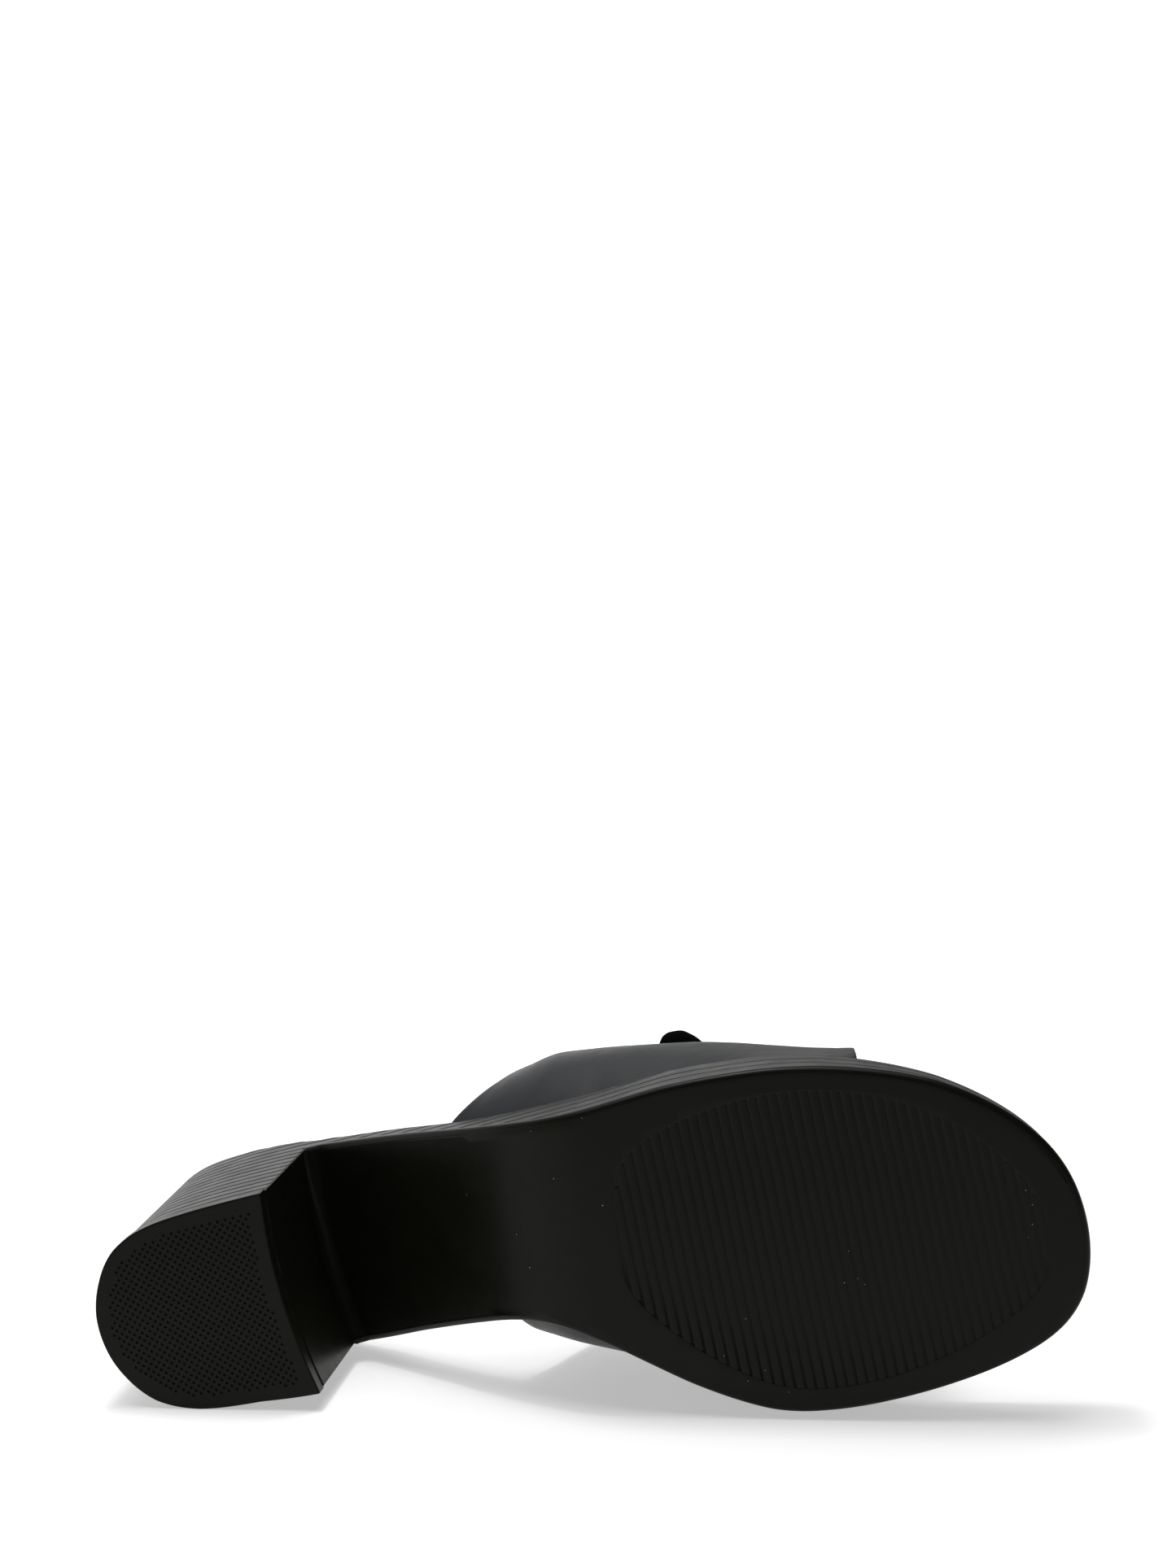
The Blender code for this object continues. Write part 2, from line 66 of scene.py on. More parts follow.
# Middles of the record's two ground faces, in the shoe frame.
HEEL_FACE_AT = (22.0 * MM, 2.0 * MM, 0.0)
FOREPART_FACE_AT = (174.0 * MM, -42.5 * MM, 0.0)

Object = bpy.types.Object
Material = bpy.types.Material
Tree = bpy.types.NodeTree
Socket = bpy.types.NodeSocket
Array = np.ndarray


class Column:
    """A smooth function through a column of a table, level where the column turns."""

    def __init__(self, stations: Sequence[float], values: Sequence[float]) -> None:
        """Stores the column and works out its slopes.

        Args:
            stations: Places along the sole, rising.
            values: The column's values there.
        """
        self.stations = np.array(stations, float)
        self.values = np.array(values, float)
        secants = np.diff(self.values) / np.diff(self.stations)
        before, after = secants[:-1], secants[1:]
        turns = before * after <= 0.0
        total = np.where(turns, 1.0, before + after)
        inner = np.where(turns, 0.0, 2.0 * before * after / total)
        self.slopes = np.concatenate(([secants[0]], inner, [secants[-1]]))

    def __call__(self, station: Array) -> Array:
        """Evaluates the function.

        Args:
            station: Places along the sole.

        Returns:
            The values there.
        """
        place = np.clip(station, self.stations[0], self.stations[-1])
        last = len(self.stations) - 2
        cell = np.clip(np.searchsorted(self.stations, place) - 1, 0, last)
        step = self.stations[cell + 1] - self.stations[cell]
        t = (place - self.stations[cell]) / step
        start, end = self.values[cell], self.values[cell + 1]
        bend = self.slopes[cell] * (1.0 - t) - self.slopes[cell + 1] * t
        return start + (end - start) * t * t * (3.0 - 2.0 * t) + step * t * (1.0 - t) * bend


OUTLINE_ROWS = (
    # station, outer, inner, width
    (0.000, 0.040, 0.040, "heel"),
    (0.007, -0.130, 0.214, "heel"),
    (0.023, -0.266, 0.348, "heel"),
    (0.052, -0.362, 0.474, "heel"),
    (0.097, -0.428, 0.531, "heel"),
    (0.160, -0.488, 0.514, "heel"),
    (0.231, -0.546, 0.486, "heel"),
    (0.306, -0.642, 0.400, "waist"),
    (0.386, -0.712, 0.292, "waist"),
    (0.432, -0.752, 0.255, "waist"),
    (0.474, -0.787, 0.276, "waist"),
    (0.526, -0.486, 0.222, "ball"),
    (0.596, -0.531, 0.336, "ball"),
    (0.675, -0.557, 0.428, "ball"),
    (0.726, -0.560, 0.442, "ball"),
    (0.789, -0.543, 0.426, "ball"),
    (0.865, -0.490, 0.378, "ball"),
    (0.928, -0.390, 0.313, "ball"),
    (0.968, -0.281, 0.241, "ball"),
    (0.991, -0.157, 0.148, "ball"),
    (1.000, 0.006, 0.006, "ball"),
)

PROFILE_ROWS = (
    # station, tread, body, thickness, flare
    (0.000, 1.000, 1.000, "seat", 0.8),
    (0.080, 1.000, 0.915, "seat", 0.3),
    (0.118, 1.000, 0.813, "seat", 0.4),
    (0.164, 1.000, 0.640, "seat", 0.3),
    (0.198, 0.996, 0.965, "shank", 0.1),
    (0.227, 0.925, 0.970, "shank", 0.0),
    (0.264, 0.802, 1.020, "shank", 0.0),
    (0.306, 0.643, 1.040, "shank", 0.0),
    (0.348, 0.474, 1.110, "shank", 0.0),
    (0.390, 0.310, 1.310, "shank", 0.1),
    (0.432, 0.166, 0.977, "platform", 0.4),
    (0.474, 0.058, 1.140, "platform", 0.8),
    (0.508, 0.012, 1.180, "platform", 0.8),
    (0.550, 0.000, 1.115, "platform", 0.8),
    (0.600, 0.000, 1.069, "platform", 1.0),
    (0.660, 0.000, 1.034, "platform", 0.6),
    (0.714, 0.000, 1.000, "platform", 0.3),
    (0.768, 0.000, 0.966, "platform", -0.1),
    (0.831, 0.000, 0.931, "platform", -0.8),
    (0.894, 0.000, 0.908, "platform", -1.3),
    (1.000, 0.000, 0.900, "platform", -1.6),
)

VAMP_ROWS = (
    # station, outer, outer_rise, inner, inner_rise, crown, crown_side
    (0.357, -0.428, 0.105, 0.186, 0.150, 1.000, -0.060),
    (0.399, -0.478, 0.210, 0.252, 0.230, 1.015, -0.055),
    (0.432, -0.512, 0.275, 0.296, 0.300, 1.010, -0.050),
    (0.466, -0.545, 0.300, 0.332, 0.330, 1.000, -0.050),
    (0.500, -0.556, 0.315, 0.356, 0.340, 0.960, -0.045),
    (0.533, -0.562, 0.310, 0.378, 0.325, 0.900, -0.040),
    (0.567, -0.566, 0.290, 0.400, 0.295, 0.840, -0.040),
    (0.609, -0.568, 0.265, 0.424, 0.260, 0.770, -0.040),
    (0.651, -0.564, 0.235, 0.446, 0.225, 0.695, -0.045),
    (0.697, -0.554, 0.200, 0.460, 0.190, 0.620, -0.050),
    (0.739, -0.544, 0.175, 0.460, 0.165, 0.560, -0.055),
    (0.790, -0.537, 0.150, 0.444, 0.145, 0.500, -0.060),
)


class End(Enum):
    """How a slab of the bottom ends: round as heel or toe, or cut off at the heel's front."""

    ROUND = "round"
    BREAST = "breast"


@dataclass(frozen=True)
class SoleForm:
    """Outline, side profile and wall of the bottom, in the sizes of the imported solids."""

    length: float = 239.2 * MM
    ball_width: float = 82.7 * MM
    waist_width: float = 47.9 * MM
    heel_width: float = 50.0 * MM
    heel_height: float = 49.5 * MM
    toe_spring: float = 1.6 * MM
    spring_share: float = 0.84
    top_piece: float = 5.0 * MM
    outsole: float = 3.0 * MM
    seat_body: float = 23.5 * MM
    shank_body: float = 11.2 * MM
    platform_body: float = 17.4 * MM
    gap: float = 0.3 * MM
    wall_inset: float = 0.4 * MM
    wall_flare: float = 1.0 * MM
    breast_outer: float = 43.8 * MM
    breast_inner: float = 53.2 * MM
    breast_hollow: float = 2.3 * MM
    samples: int = 40

    def column(self, index: int, size: Callable[[tuple], float]) -> Column:
        """One column of the side profile, each row times its size."""
        values = [row[index] * size(row) for row in PROFILE_ROWS]
        return Column([row[0] for row in PROFILE_ROWS], values)

    @cached_property
    def tread_column(self) -> Column:
        """Height of the tread along the sole."""
        return self.column(1, lambda row: self.heel_height)

    @cached_property
    def body_column(self) -> Column:
        """Thickness of the platform and its outsole along the sole."""
        sizes = {
            "seat": self.seat_body,
            "shank": self.shank_body,
            "platform": self.platform_body,
        }
        return self.column(2, lambda row: sizes[row[3]])

    @cached_property
    def flare_column(self) -> Column:
        """Outward flare of the wall's top along the sole."""
        return self.column(4, lambda row: self.wall_flare)

    @cached_property
    def edges(self) -> tuple[Array, Array]:
        """Dense outer and inner edges of the tread, each from the heel to the toe."""
        widths = {
            "heel": self.heel_width,
            "waist": self.waist_width,
            "ball": self.ball_width,
        }
        outer = [(r[0] * self.length, r[1] * widths[r[3]]) for r in OUTLINE_ROWS]
        inner = [(r[0] * self.length, r[2] * widths[r[3]]) for r in OUTLINE_ROWS[1:-1]]
        loop = smooth_loop(outer + inner[::-1], self.samples)
        turn = (len(OUTLINE_ROWS) - 1) * self.samples
        first = loop[: turn + 1]
        second = np.concatenate((loop[turn:], loop[:1]))[::-1]
        return first, second

    def tread(self, x: Array) -> Array:
        """Height of the tread at x, with the arch and the toe spring."""
        station = np.asarray(x) / self.length
        lift = np.maximum(0.0, (station - self.spring_share) / (1.0 - self.spring_share))
        return self.tread_column(station) + self.toe_spring * lift**2

    def underside(self, x: Array) -> Array:
        """Height of the platform's underside at x."""
        return self.tread(x) + self.outsole

    def topside(self, x: Array) -> Array:
        """Height of the platform's top at x."""
        return self.tread(x) + self.body_column(np.asarray(x) / self.length)

    def flare(self, x: Array) -> Array:
        """Outward flare of the wall's top at x."""
        return self.flare_column(np.asarray(x) / self.length)

    def side(self, x: Array, inner: bool) -> Array:
        """Across position of the tread's outer or inner edge at x."""
        edge = self.edges[1 if inner else 0]
        return np.interp(x, edge[:, 0], edge[:, 1])

    def inset_side(self, x: Array, inner: bool, inset: float) -> Array:
        """Across position of an edge that is moved in.

        Args:
            x: Places along the sole.
            inner: Whether it is the inner edge.
            inset: How far the edge is moved in.

        Returns:
            The positions across, one for each place.
        """
        edge = self.edges[1 if inner else 0]
        along = np.gradient(edge, axis=0)
        along /= np.linalg.norm(along, axis=1)[:, None]
        turn = 1.0 if inner else -1.0
        moved = edge - inset * turn * np.stack((-along[:, 1], along[:, 0]), axis=1)
        order = np.argsort(moved[:, 0])
        return np.interp(x, moved[order, 0], moved[order, 1])


def smooth_loop(points: Sequence[tuple[float, float]], steps: int) -> Array:
    """Samples a closed centripetal curve through points.

    Args:
        points: The points, in order.
        steps: Samples from each point to the next.

    Returns:
        The samples, one row each.
    """
    count = len(points)
    rows = []
    for index in range(count):
        p = [np.array(points[(index + shift) % count]) for shift in (-1, 0, 1, 2)]
        k = [0.0]
        for before, after in zip(p, p[1:]):
            k.append(k[-1] + math.sqrt(float(np.linalg.norm(after - before))))
        t = (k[1] + (k[2] - k[1]) * np.arange(steps) / steps)[:, None]
        row, level = list(p), 1
        while len(row) > 1:
            row = [
                ((k[i + level] - t) * a + (t - k[i]) * b) / (k[i + level] - k[i])
                for i, (a, b) in enumerate(zip(row, row[1:]))
            ]
            level += 1
        rows.append(row[0])
    return np.concatenate(rows)


def grown(ring: Array, amounts: Array) -> Array:
    """Moves each point of a closed plan ring outwards.

    Args:
        ring: Points that run from the heel along the outer side, one row each.
        amounts: Distance for each point.

    Returns:
        The moved points.
    """
    along = np.roll(ring, -1, axis=0) - np.roll(ring, 1, axis=0)
    along /= np.maximum(np.linalg.norm(along, axis=1), 1e-9)[:, None]
    outward = np.stack((along[:, 1], -along[:, 0]), axis=1)
    return ring + outward * np.asarray(amounts)[:, None]


@dataclass
class Plan:
    """Plan of one slab of the bottom: a ring of edge points and the grid that it bounds."""

    form: SoleForm
    rear: End
    front: End
    clearance: float = 0.0
    steps: int = 190
    across: int = 22
    near: tuple[float, ...] = (0.45, 1.0, 1.8)

    @cached_property
    def rear_cut(self) -> bool:
        """Whether the slab starts at the heel's front face."""
        return self.rear is End.BREAST

    @cached_property
    def front_cut(self) -> bool:
        """Whether the slab ends at the heel's front face."""
        return self.front is End.BREAST

    def stations(self, inner: bool) -> Array:
        """Places along one edge, close together at round ends and next to a cut.

        Args:
            inner: Whether it is the inner edge.

        Returns:
            The places, from the heel to the toe.
        """
        form = self.form
        breast = (form.breast_inner if inner else form.breast_outer) + self.clearance
        near = np.array(self.near) * MM
        u = np.linspace(0.0, 1.0, self.steps + 1)
        if self.rear_cut:
            first = breast + near[-1]
            regular = first + (form.length - first) * np.sin(0.5 * math.pi * u)
            return np.concatenate(([breast], breast + near[:-1], regular))
        if self.front_cut:
            last = breast - near[-1]
            regular = last * (1.0 - np.cos(0.5 * math.pi * u))
            return np.concatenate((regular, breast - near[-2::-1], [breast]))
        return form.length * (0.5 - 0.5 * np.cos(math.pi * u))

    @cached_property
    def count(self) -> int:
        """Number of stations along each edge."""
        return len(self.stations(False))

    @cached_property
    def ring(self) -> Array:
        """Edge points: out along the outer side, then back along the inner side."""
        xo, xi = self.stations(False), self.stations(True)
        outer = np.stack((xo, self.form.side(xo, False)), axis=1)
        inner = np.stack((xi, self.form.side(xi, True)), axis=1)
        parts = [outer]
        if self.front_cut:
            parts += [self.arc(outer[-1], inner[-1]), inner[-1:]]
        parts.append(inner[-2:0:-1])
        if self.rear_cut:
            parts += [inner[:1], self.arc(outer[0], inner[0])[::-1]]
        return np.concatenate(parts)

    @cached_property
    def shares(self) -> Array:
        """Shares of the way across, with two close to each side."""
        inside = np.linspace(0.0, 1.0, self.across - 1)[1:-1]
        return np.concatenate(([0.0, 0.011], inside, [0.989, 1.0]))

    def arc(self, outer: Array, inner: Array) -> Array:
        """Points of the heel's hollow front face, between its two corners.

        Args:
            outer: The outer corner.
            inner: The inner corner.

        Returns:
            The points, from the outer side to the inner side.
        """
        v = self.shares[1:-1, None]
        line = outer + (inner - outer) * v
        line[:, 0] -= self.form.breast_hollow * 4.0 * v[:, 0] * (1.0 - v[:, 0])
        return line

    @cached_property
    def cut(self) -> Array:
        """For each ring point, 1 on the heel's front face and 0 on the wall."""
        mark = np.zeros(len(self.ring))
        inside = len(self.shares) - 2
        if self.front_cut:
            mark[self.count : self.count + inside] = 1.0
        if self.rear_cut:
            mark[-inside:] = 1.0
        return mark

    def corners(self) -> list[int]:
        """Finds the upright corners of the cut ends.

        Returns:
            Their places in the ring.
        """
        inside = len(self.shares) - 2
        found = []
        if self.front_cut:
            found += [self.count - 1, self.count + inside]
        if self.rear_cut:
            found += [0, len(self.ring) - inside - 1]
        return found

    def grid(self, ring: Array) -> Array:
        """Points of the cap inside a ring.

        Args:
            ring: Edge points, as many as this plan's ring has, of two or three columns.

        Returns:
            The points, by place along and across.
        """
        n, inside = self.count, len(self.shares) - 2
        outer = ring[:n]
        rest = ring[n:]
        front = rest[:inside] if self.front_cut else None
        if self.front_cut:
            rest = rest[inside:]
        back = rest[-inside:][::-1] if self.rear_cut else None
        if self.rear_cut:
            rest = rest[:-inside]
        inner = rest[::-1]
        if not self.rear_cut:
            inner = np.concatenate((ring[:1], inner))
        if not self.front_cut:
            inner = np.concatenate((inner, outer[-1:]))
        v = self.shares[None, :, None]
        grid = outer[:, None] * (1.0 - v) + inner[:, None] * v
        fade = np.linspace(0.0, 1.0, n)[:, None, None]
        if front is not None:
            grid[:, 1:-1] += (front - grid[-1, 1:-1])[None] * fade**4
        if back is not None:
            grid[:, 1:-1] += (back - grid[0, 1:-1])[None] * (1.0 - fade) ** 4
        return grid


class Bench:
    """The modelling bench: Blender's own operators, on meshes in the shoe frame."""

    def __init__(self, lay: Matrix) -> None:
        """Stores the matrix that lays a finished mesh down on its inner side."""
        self.lay = lay

    @staticmethod
    def only(*objects: Object) -> None:
        """Selects these objects alone, and makes the first one active."""
        bpy.ops.object.select_all(action="DESELECT")
        for obj in objects:
            obj.select_set(True)
        bpy.context.view_layer.objects.active = objects[0]

    def sheet(self, name: str, points: Array) -> Object:
        """Adds a grid and lays it on a surface.

        Args:
            name: Name of the new object.
            points: Places of the grid's corners, by row and column.

        Returns:
            The sheet.
        """
        rows, columns = points.shape[:2]
        bpy.ops.object.select_all(action="DESELECT")
        bpy.ops.mesh.primitive_grid_add(
            x_subdivisions=columns - 1, y_subdivisions=rows - 1, size=SHEET_SIZE
        )
        obj = bpy.context.object
        obj.name = obj.data.name = name
        obj.data.vertices.foreach_set("co", points.astype(np.float32).ravel())
        obj.data.update()
        return obj

    def joined(self, name: str, objects: Sequence[Object], merge: float = MERGE) -> Object:
        """Joins pieces into one, closes their seams and points the faces out.

        Args:
            name: Name of the joined object.
            objects: What is joined.
            merge: Distance under which points are one.

        Returns:
            The joined object.
        """
        self.only(*objects)
        if len(objects) > 1:
            bpy.ops.object.join()
        obj = bpy.context.object
        obj.name = obj.data.name = name
        bpy.ops.object.mode_set(mode="EDIT")
        bpy.ops.mesh.select_all(action="SELECT")
        bpy.ops.mesh.remove_doubles(threshold=merge)
        bpy.ops.mesh.normals_make_consistent(inside=False)
        bpy.ops.object.mode_set(mode="OBJECT")
        return obj

    def applied(self, obj: Object, kind: str, **settings: object) -> Object:
        """Adds a modifier with its settings, and applies it.

        Args:
            obj: The object that is changed.
            kind: Blender's name of the modifier.
            settings: Values of the modifier.

        Returns:
            The same object.
        """
        self.only(obj)
        modifier = obj.modifiers.new(kind.lower(), kind)
        for key, value in settings.items():
            setattr(modifier, key, value)
        bpy.ops.object.modifier_apply(modifier=modifier.name)
        return obj

    @staticmethod
    def copied(obj: Object) -> Object:
        """Copies an object once, with a mesh of its own."""
        copy = bpy.data.objects.new(obj.name, obj.data.copy())
        bpy.context.collection.objects.link(copy)
        return copy

    def copies(self, obj: Object, places: Sequence[Matrix]) -> list[Object]:
        """Copies an object, each copy with a mesh of its own.

        Args:
            obj: The object that is repeated. It is removed afterwards.
            places: Where each copy goes.

        Returns:
            The copies, with their places in their meshes.
        """
        made = []
        for place in places:
            copy = self.copied(obj)
            copy.data.transform(place)
            made.append(copy)
        bpy.data.objects.remove(obj)
        return made

    @staticmethod
    def faced(obj: Object, material: Material, toward: Vector, least: float = 0.8) -> Object:
        """Gives the faces that look one way a material of their own.

        Args:
            obj: A finished piece.
            material: The finish of those faces.
            toward: The way they look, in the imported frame.
            least: Least cosine between a face's direction and that way.

        Returns:
            The same piece.
        """
        obj.data.materials.append(material)
        for face in obj.data.polygons:
            if face.normal.dot(toward) > least:
                face.material_index = len(obj.data.materials) - 1
        return obj

    def finished(
        self,
        obj: Object,
        material: Material,
        slot: str,
        replaces: Sequence[str] = (),
        angle: float = 38.0,
    ) -> Object:
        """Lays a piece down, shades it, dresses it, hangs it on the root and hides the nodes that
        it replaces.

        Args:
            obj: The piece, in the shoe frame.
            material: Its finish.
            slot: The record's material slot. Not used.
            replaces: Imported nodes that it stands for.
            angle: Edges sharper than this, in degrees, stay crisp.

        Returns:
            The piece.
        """
        obj.data.transform(self.lay)
        obj.data.update()
        self.only(obj)
        bpy.ops.object.shade_smooth_by_angle(angle=math.radians(angle))
        obj.data.materials.clear()
        obj.data.materials.append(material)
        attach(obj, ROOT)
        if replaces:
            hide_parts(*replaces)
        LOG.info("%s: %d faces", obj.name, len(obj.data.polygons))
        return obj


def rounding(radius: float, steps: int = 4) -> list[tuple[float, float]]:
    """Quarter round of an edge, from the cap to the wall.

    Args:
        radius: Its radius.
        steps: Number of steps.

    Returns:
        For each row, its rise over the cap and its inset from the wall.
    """
    angles = np.linspace(0.0, 0.5 * math.pi, steps + 1)
    return [(radius * (1.0 - math.cos(a)), radius * (1.0 - math.sin(a))) for a in angles]


@dataclass
class Slab:
    """One slab of the bottom, from its plan, two heights, rounded edges and wall rows."""

    plan: Plan
    bottom: Callable[[Array, Array], Array]
    top: Callable[[Array, Array], Array]
    amount: Callable[[Array, Array], Array]
    bottom_round: float
    top_round: float
    rows: Array = field(default_factory=lambda: np.zeros(0))
    top_relief: Callable[[Array, Array], Array] | None = None
    cut_round: float | None = None
    round_steps: int = 4

    def levels(self) -> tuple[Array, Array]:
        """Heights and insets of the wall's rows.

        Returns:
            Two tables with one row for each level and one column for each ring point.
        """
        x, y = self.plan.ring.T
        low, high = self.bottom(x, y), self.top(x, y)
        heights, insets = [], []
        cut_round = self.bottom_round if self.cut_round is None else self.cut_round
        scale = 1.0 + (cut_round / self.bottom_round - 1.0) * self.plan.cut
        for rise, inset in rounding(self.bottom_round, self.round_steps):
            heights.append(low + rise * scale)
            insets.append(inset * scale)
        start, end = low + self.bottom_round * scale + HOLD, high - self.top_round - HOLD
        floor = low + self.bottom_round + HOLD
        for row in (start, *[np.clip(row, floor, end) for row in self.rows], end):
            heights.append(row)
            insets.append(np.zeros(len(x)))
        for rise, inset in rounding(self.top_round)[::-1]:
            heights.append(high - rise)
            insets.append(np.full(len(x), inset))
        return np.array(heights), np.array(insets)

    def build(self, bench: Bench, name: str) -> Object:
        """Makes the closed slab.

        Args:
            bench: The modelling bench.
            name: Name of the new object.

        Returns:
            The slab, in the shoe frame.
        """
        heights, insets = self.levels()
        rings = []
        for height, inset in zip(heights, insets):
            flat = grown(self.plan.ring, self.amount(self.plan.ring, height) - inset)
            rings.append(np.column_stack((flat, height)))
        wall = np.array(rings)
        closed = np.concatenate((wall, wall[:, :1]), axis=1)
        caps = []
        for ring, height, relief in (
            (wall[0], self.bottom, None),
            (wall[-1], self.top, self.top_relief),
        ):
            cap = self.plan.grid(ring)
            surface = height(cap[..., 0], cap[..., 1])
            inside = np.zeros(cap.shape[:2], bool)
            inside[1:-1, 1:-1] = True
            cap[..., 2] = np.where(inside, surface, cap[..., 2])
            if relief is not None:
                lift = relief(cap[..., 0], cap[..., 1])
                cap[..., 2] += np.where(inside, lift, 0.0)
            caps.append(cap)
        sheets = [bench.sheet(name, closed)]
        sheets += [bench.sheet(name + "_cap", cap) for cap in caps]
        return bench.joined(name, sheets)


@dataclass(frozen=True)
class LayerLines:
    """Level grooves round heel and platform, which look like stacked layers."""

    pitch: float = 4.95 * MM
    first: float = 2.85 * MM
    depth: float = 0.34 * MM
    half_width: float = 0.48 * MM
    swell: float = 0.16 * MM
    top: float = 78.0 * MM

    def rows(self, low: float) -> Array:
        """Heights of the wall's rows, close together in each groove.

        Args:
            low: Rows under this height are left out.

        Returns:
            The heights, rising.
        """
        offsets = np.array([-1.0, -0.6, -0.25, 0.0, 0.25, 0.6, 1.0]) * self.half_width
        between = np.array([0.3, 0.5, 0.7]) * self.pitch
        steps = np.concatenate((offsets, between))
        lines = np.arange(self.first, self.top, self.pitch)
        rows = np.sort((lines[:, None] + steps[None]).ravel())
        return rows[rows > low]

    def inset(self, height: Array) -> Array:
        """How deep the wall lies at a height: grooves, and a slight swell between them.

        Args:
            height: Heights above the ground.

        Returns:
            The depth at each height.
        """
        phase = (np.asarray(height) - self.first) / self.pitch
        away = np.abs(phase - np.round(phase)) * self.pitch
        groove = np.clip(1.0 - away / self.half_width, 0.0, 1.0)
        groove = groove * groove * (3.0 - 2.0 * groove)
        return self.depth * groove + self.swell * np.cos(2.0 * math.pi * phase) ** 2 * 0.5


@dataclass(frozen=True)
class Bottom:
    """Heel block, top piece, platform, outsole and insole."""

    bench: Bench
    form: SoleForm
    lines: LayerLines = LayerLines()
    # The layer lines are softer round the heel and sharper along the forepart.
    soft_lines: float = 0.7
    sharp_lines: float = 1.4
    soft_until: float = 60.0 * MM
    soft_fade: float = 70.0 * MM
    plain_band: float = 0.9 * MM
    wall_corner: float = 0.22 * MM
    lift_corner: float = 0.2 * MM
    lift_rows: tuple[float, ...] = (1.6 * MM, 3.2 * MM)
    lift_seat: float = 0.02 * MM
    # Hollow corner and ledge at the heel's front face, from its outer to its inner end.
    near_breast: tuple[float, ...] = (
        0.25, 0.5, 0.75, 1.0, 1.3, 1.6, 1.9, 2.2, 2.5, 2.8, 3.1, 3.4, 3.7, 4.0, 4.5, 5.2,
    )
    corner_radius: Column = Column((0.0, 0.12, 0.45, 1.0), np.array([0.5, 0.9, 2.4, 1.9]) * MM)
    ledge_reach: Column = Column((0.0, 0.12, 0.45, 1.0), np.array([1.1, 1.7, 3.5, 3.8]) * MM)
    cut_reach: float = 0.34 * MM
    burr_rise: float = 0.45 * MM
    burr_away_mm: float = 2.0
    burr_length_mm: float = 0.4
    burr_across_mm: float = -9.4
    burr_width_mm: float = 0.6
    # The padded footbed and its shallow dish, and the vamp that it stays clear of.
    pad_thickness: float = 3.0 * MM
    pad_margin: float = 1.4 * MM
    pad_blend: float = 12.0 * MM
    vamp_margin: float = 0.8 * MM
    vamp_wall: float = 2.0 * MM
    vamp_back: float = 84.6 * MM
    vamp_front: float = 188.0 * MM
    dish_depth: float = 0.55 * MM
    heel_dish_depth: float = 0.5 * MM
    heel_dish_at: float = 30.0 * MM
    heel_dish_length: float = 26.0 * MM
    full_dish_half: float = 18.0 * MM

    def wall_amount(self, plan: Plan) -> Callable[[Array, Array], Array]:
        """How far the layered wall stands outside the tread's outline.

        Args:
            plan: The slab's plan.

        Returns:
            A function of the ring and its heights.
        """
        wall = 1.0 - plan.cut
        corner = np.zeros(len(wall))
        corner[plan.corners()] = self.wall_corner

        def amount(ring: Array, height: Array) -> Array:
            """Amount for each ring point.

            Args:
                ring: The plan's ring.
                height: The height of each point.

            Returns:
                The distance outwards of each point.
            """
            x = ring[:, 0]
            top = self.form.topside(x)
            plain = np.clip((top - height) / self.plain_band, 0.0, 1.0)
            along = np.clip((x - self.soft_until) / self.soft_fade, 0.0, 1.0)
            sharp = self.soft_lines + (self.sharp_lines - self.soft_lines) * along
            flare = self.form.flare(x) * height / top
            lines = self.lines.inset(height) * plain * sharp
            return (flare - self.form.wall_inset - lines) * wall - corner

        return amount

    def heel_block(self, material: Material, breast: Material) -> Object:
        """The heel between the top piece and the seat, its front face covered with rubber.

        Args:
            material: Finish of the wall.
            breast: Finish of the front face.

        Returns:
            The heel block.
        """
        form = self.form
        plan = Plan(form, End.ROUND, End.BREAST, steps=84)
        slab = Slab(
            plan,
            bottom=lambda x, y: np.full(np.shape(x), form.top_piece),
            top=lambda x, y: form.underside(x) - form.gap,
            amount=self.wall_amount(plan),
            bottom_round=0.12 * MM,
            top_round=0.25 * MM,
            rows=self.lines.rows(form.top_piece),
            cut_round=0.01 * MM,
        )
        heel = slab.build(self.bench, "moulded_heel")
        heel = self.bench.finished(heel, material, "moulded_sole", ["heel_block"])
        return self.bench.faced(heel, breast, self.bench.lay.to_3x3() @ Vector((1.0, 0.0, 0.0)))

    def platform(self, material: Material) -> Object:
        """The wedge from seat to toe.

        Args:
            material: Its finish.

        Returns:
            The platform.
        """
        form = self.form
        plan = Plan(form, End.ROUND, End.ROUND, steps=220)
        slab = Slab(
            plan,
            bottom=lambda x, y: form.underside(x),
            top=lambda x, y: form.topside(x),
            amount=self.wall_amount(plan),
            bottom_round=0.3 * MM,
            top_round=0.7 * MM,
            rows=self.lines.rows(form.outsole),
        )
        wedge = slab.build(self.bench, "moulded_platform")
        return self.bench.finished(wedge, material, "moulded_sole", ["platform"])

    def top_piece(self, material: Material) -> Object:
        """The rubber lift under the heel, with its pitted walking face.

        Args:
            material: Its finish.

        Returns:
            The top piece.
        """
        form = self.form
        plan = Plan(form, End.ROUND, End.BREAST, steps=84)
        corner = np.zeros(len(plan.ring))
        corner[plan.corners()] = self.lift_corner
        slab = Slab(
            plan,
            bottom=lambda x, y: np.zeros(np.shape(x)),
            top=lambda x, y: np.full(np.shape(x), form.top_piece + self.lift_seat),
            amount=lambda ring, height: -corner,
            bottom_round=0.35 * MM,
            top_round=0.03 * MM,
            rows=np.array(self.lift_rows),
        )
        piece = slab.build(self.bench, "rubber_top_piece")
        piece = Pits().cut(self.bench, piece, plan.ring)
        return self.bench.finished(piece, material, "rubber", ["top_piece"])

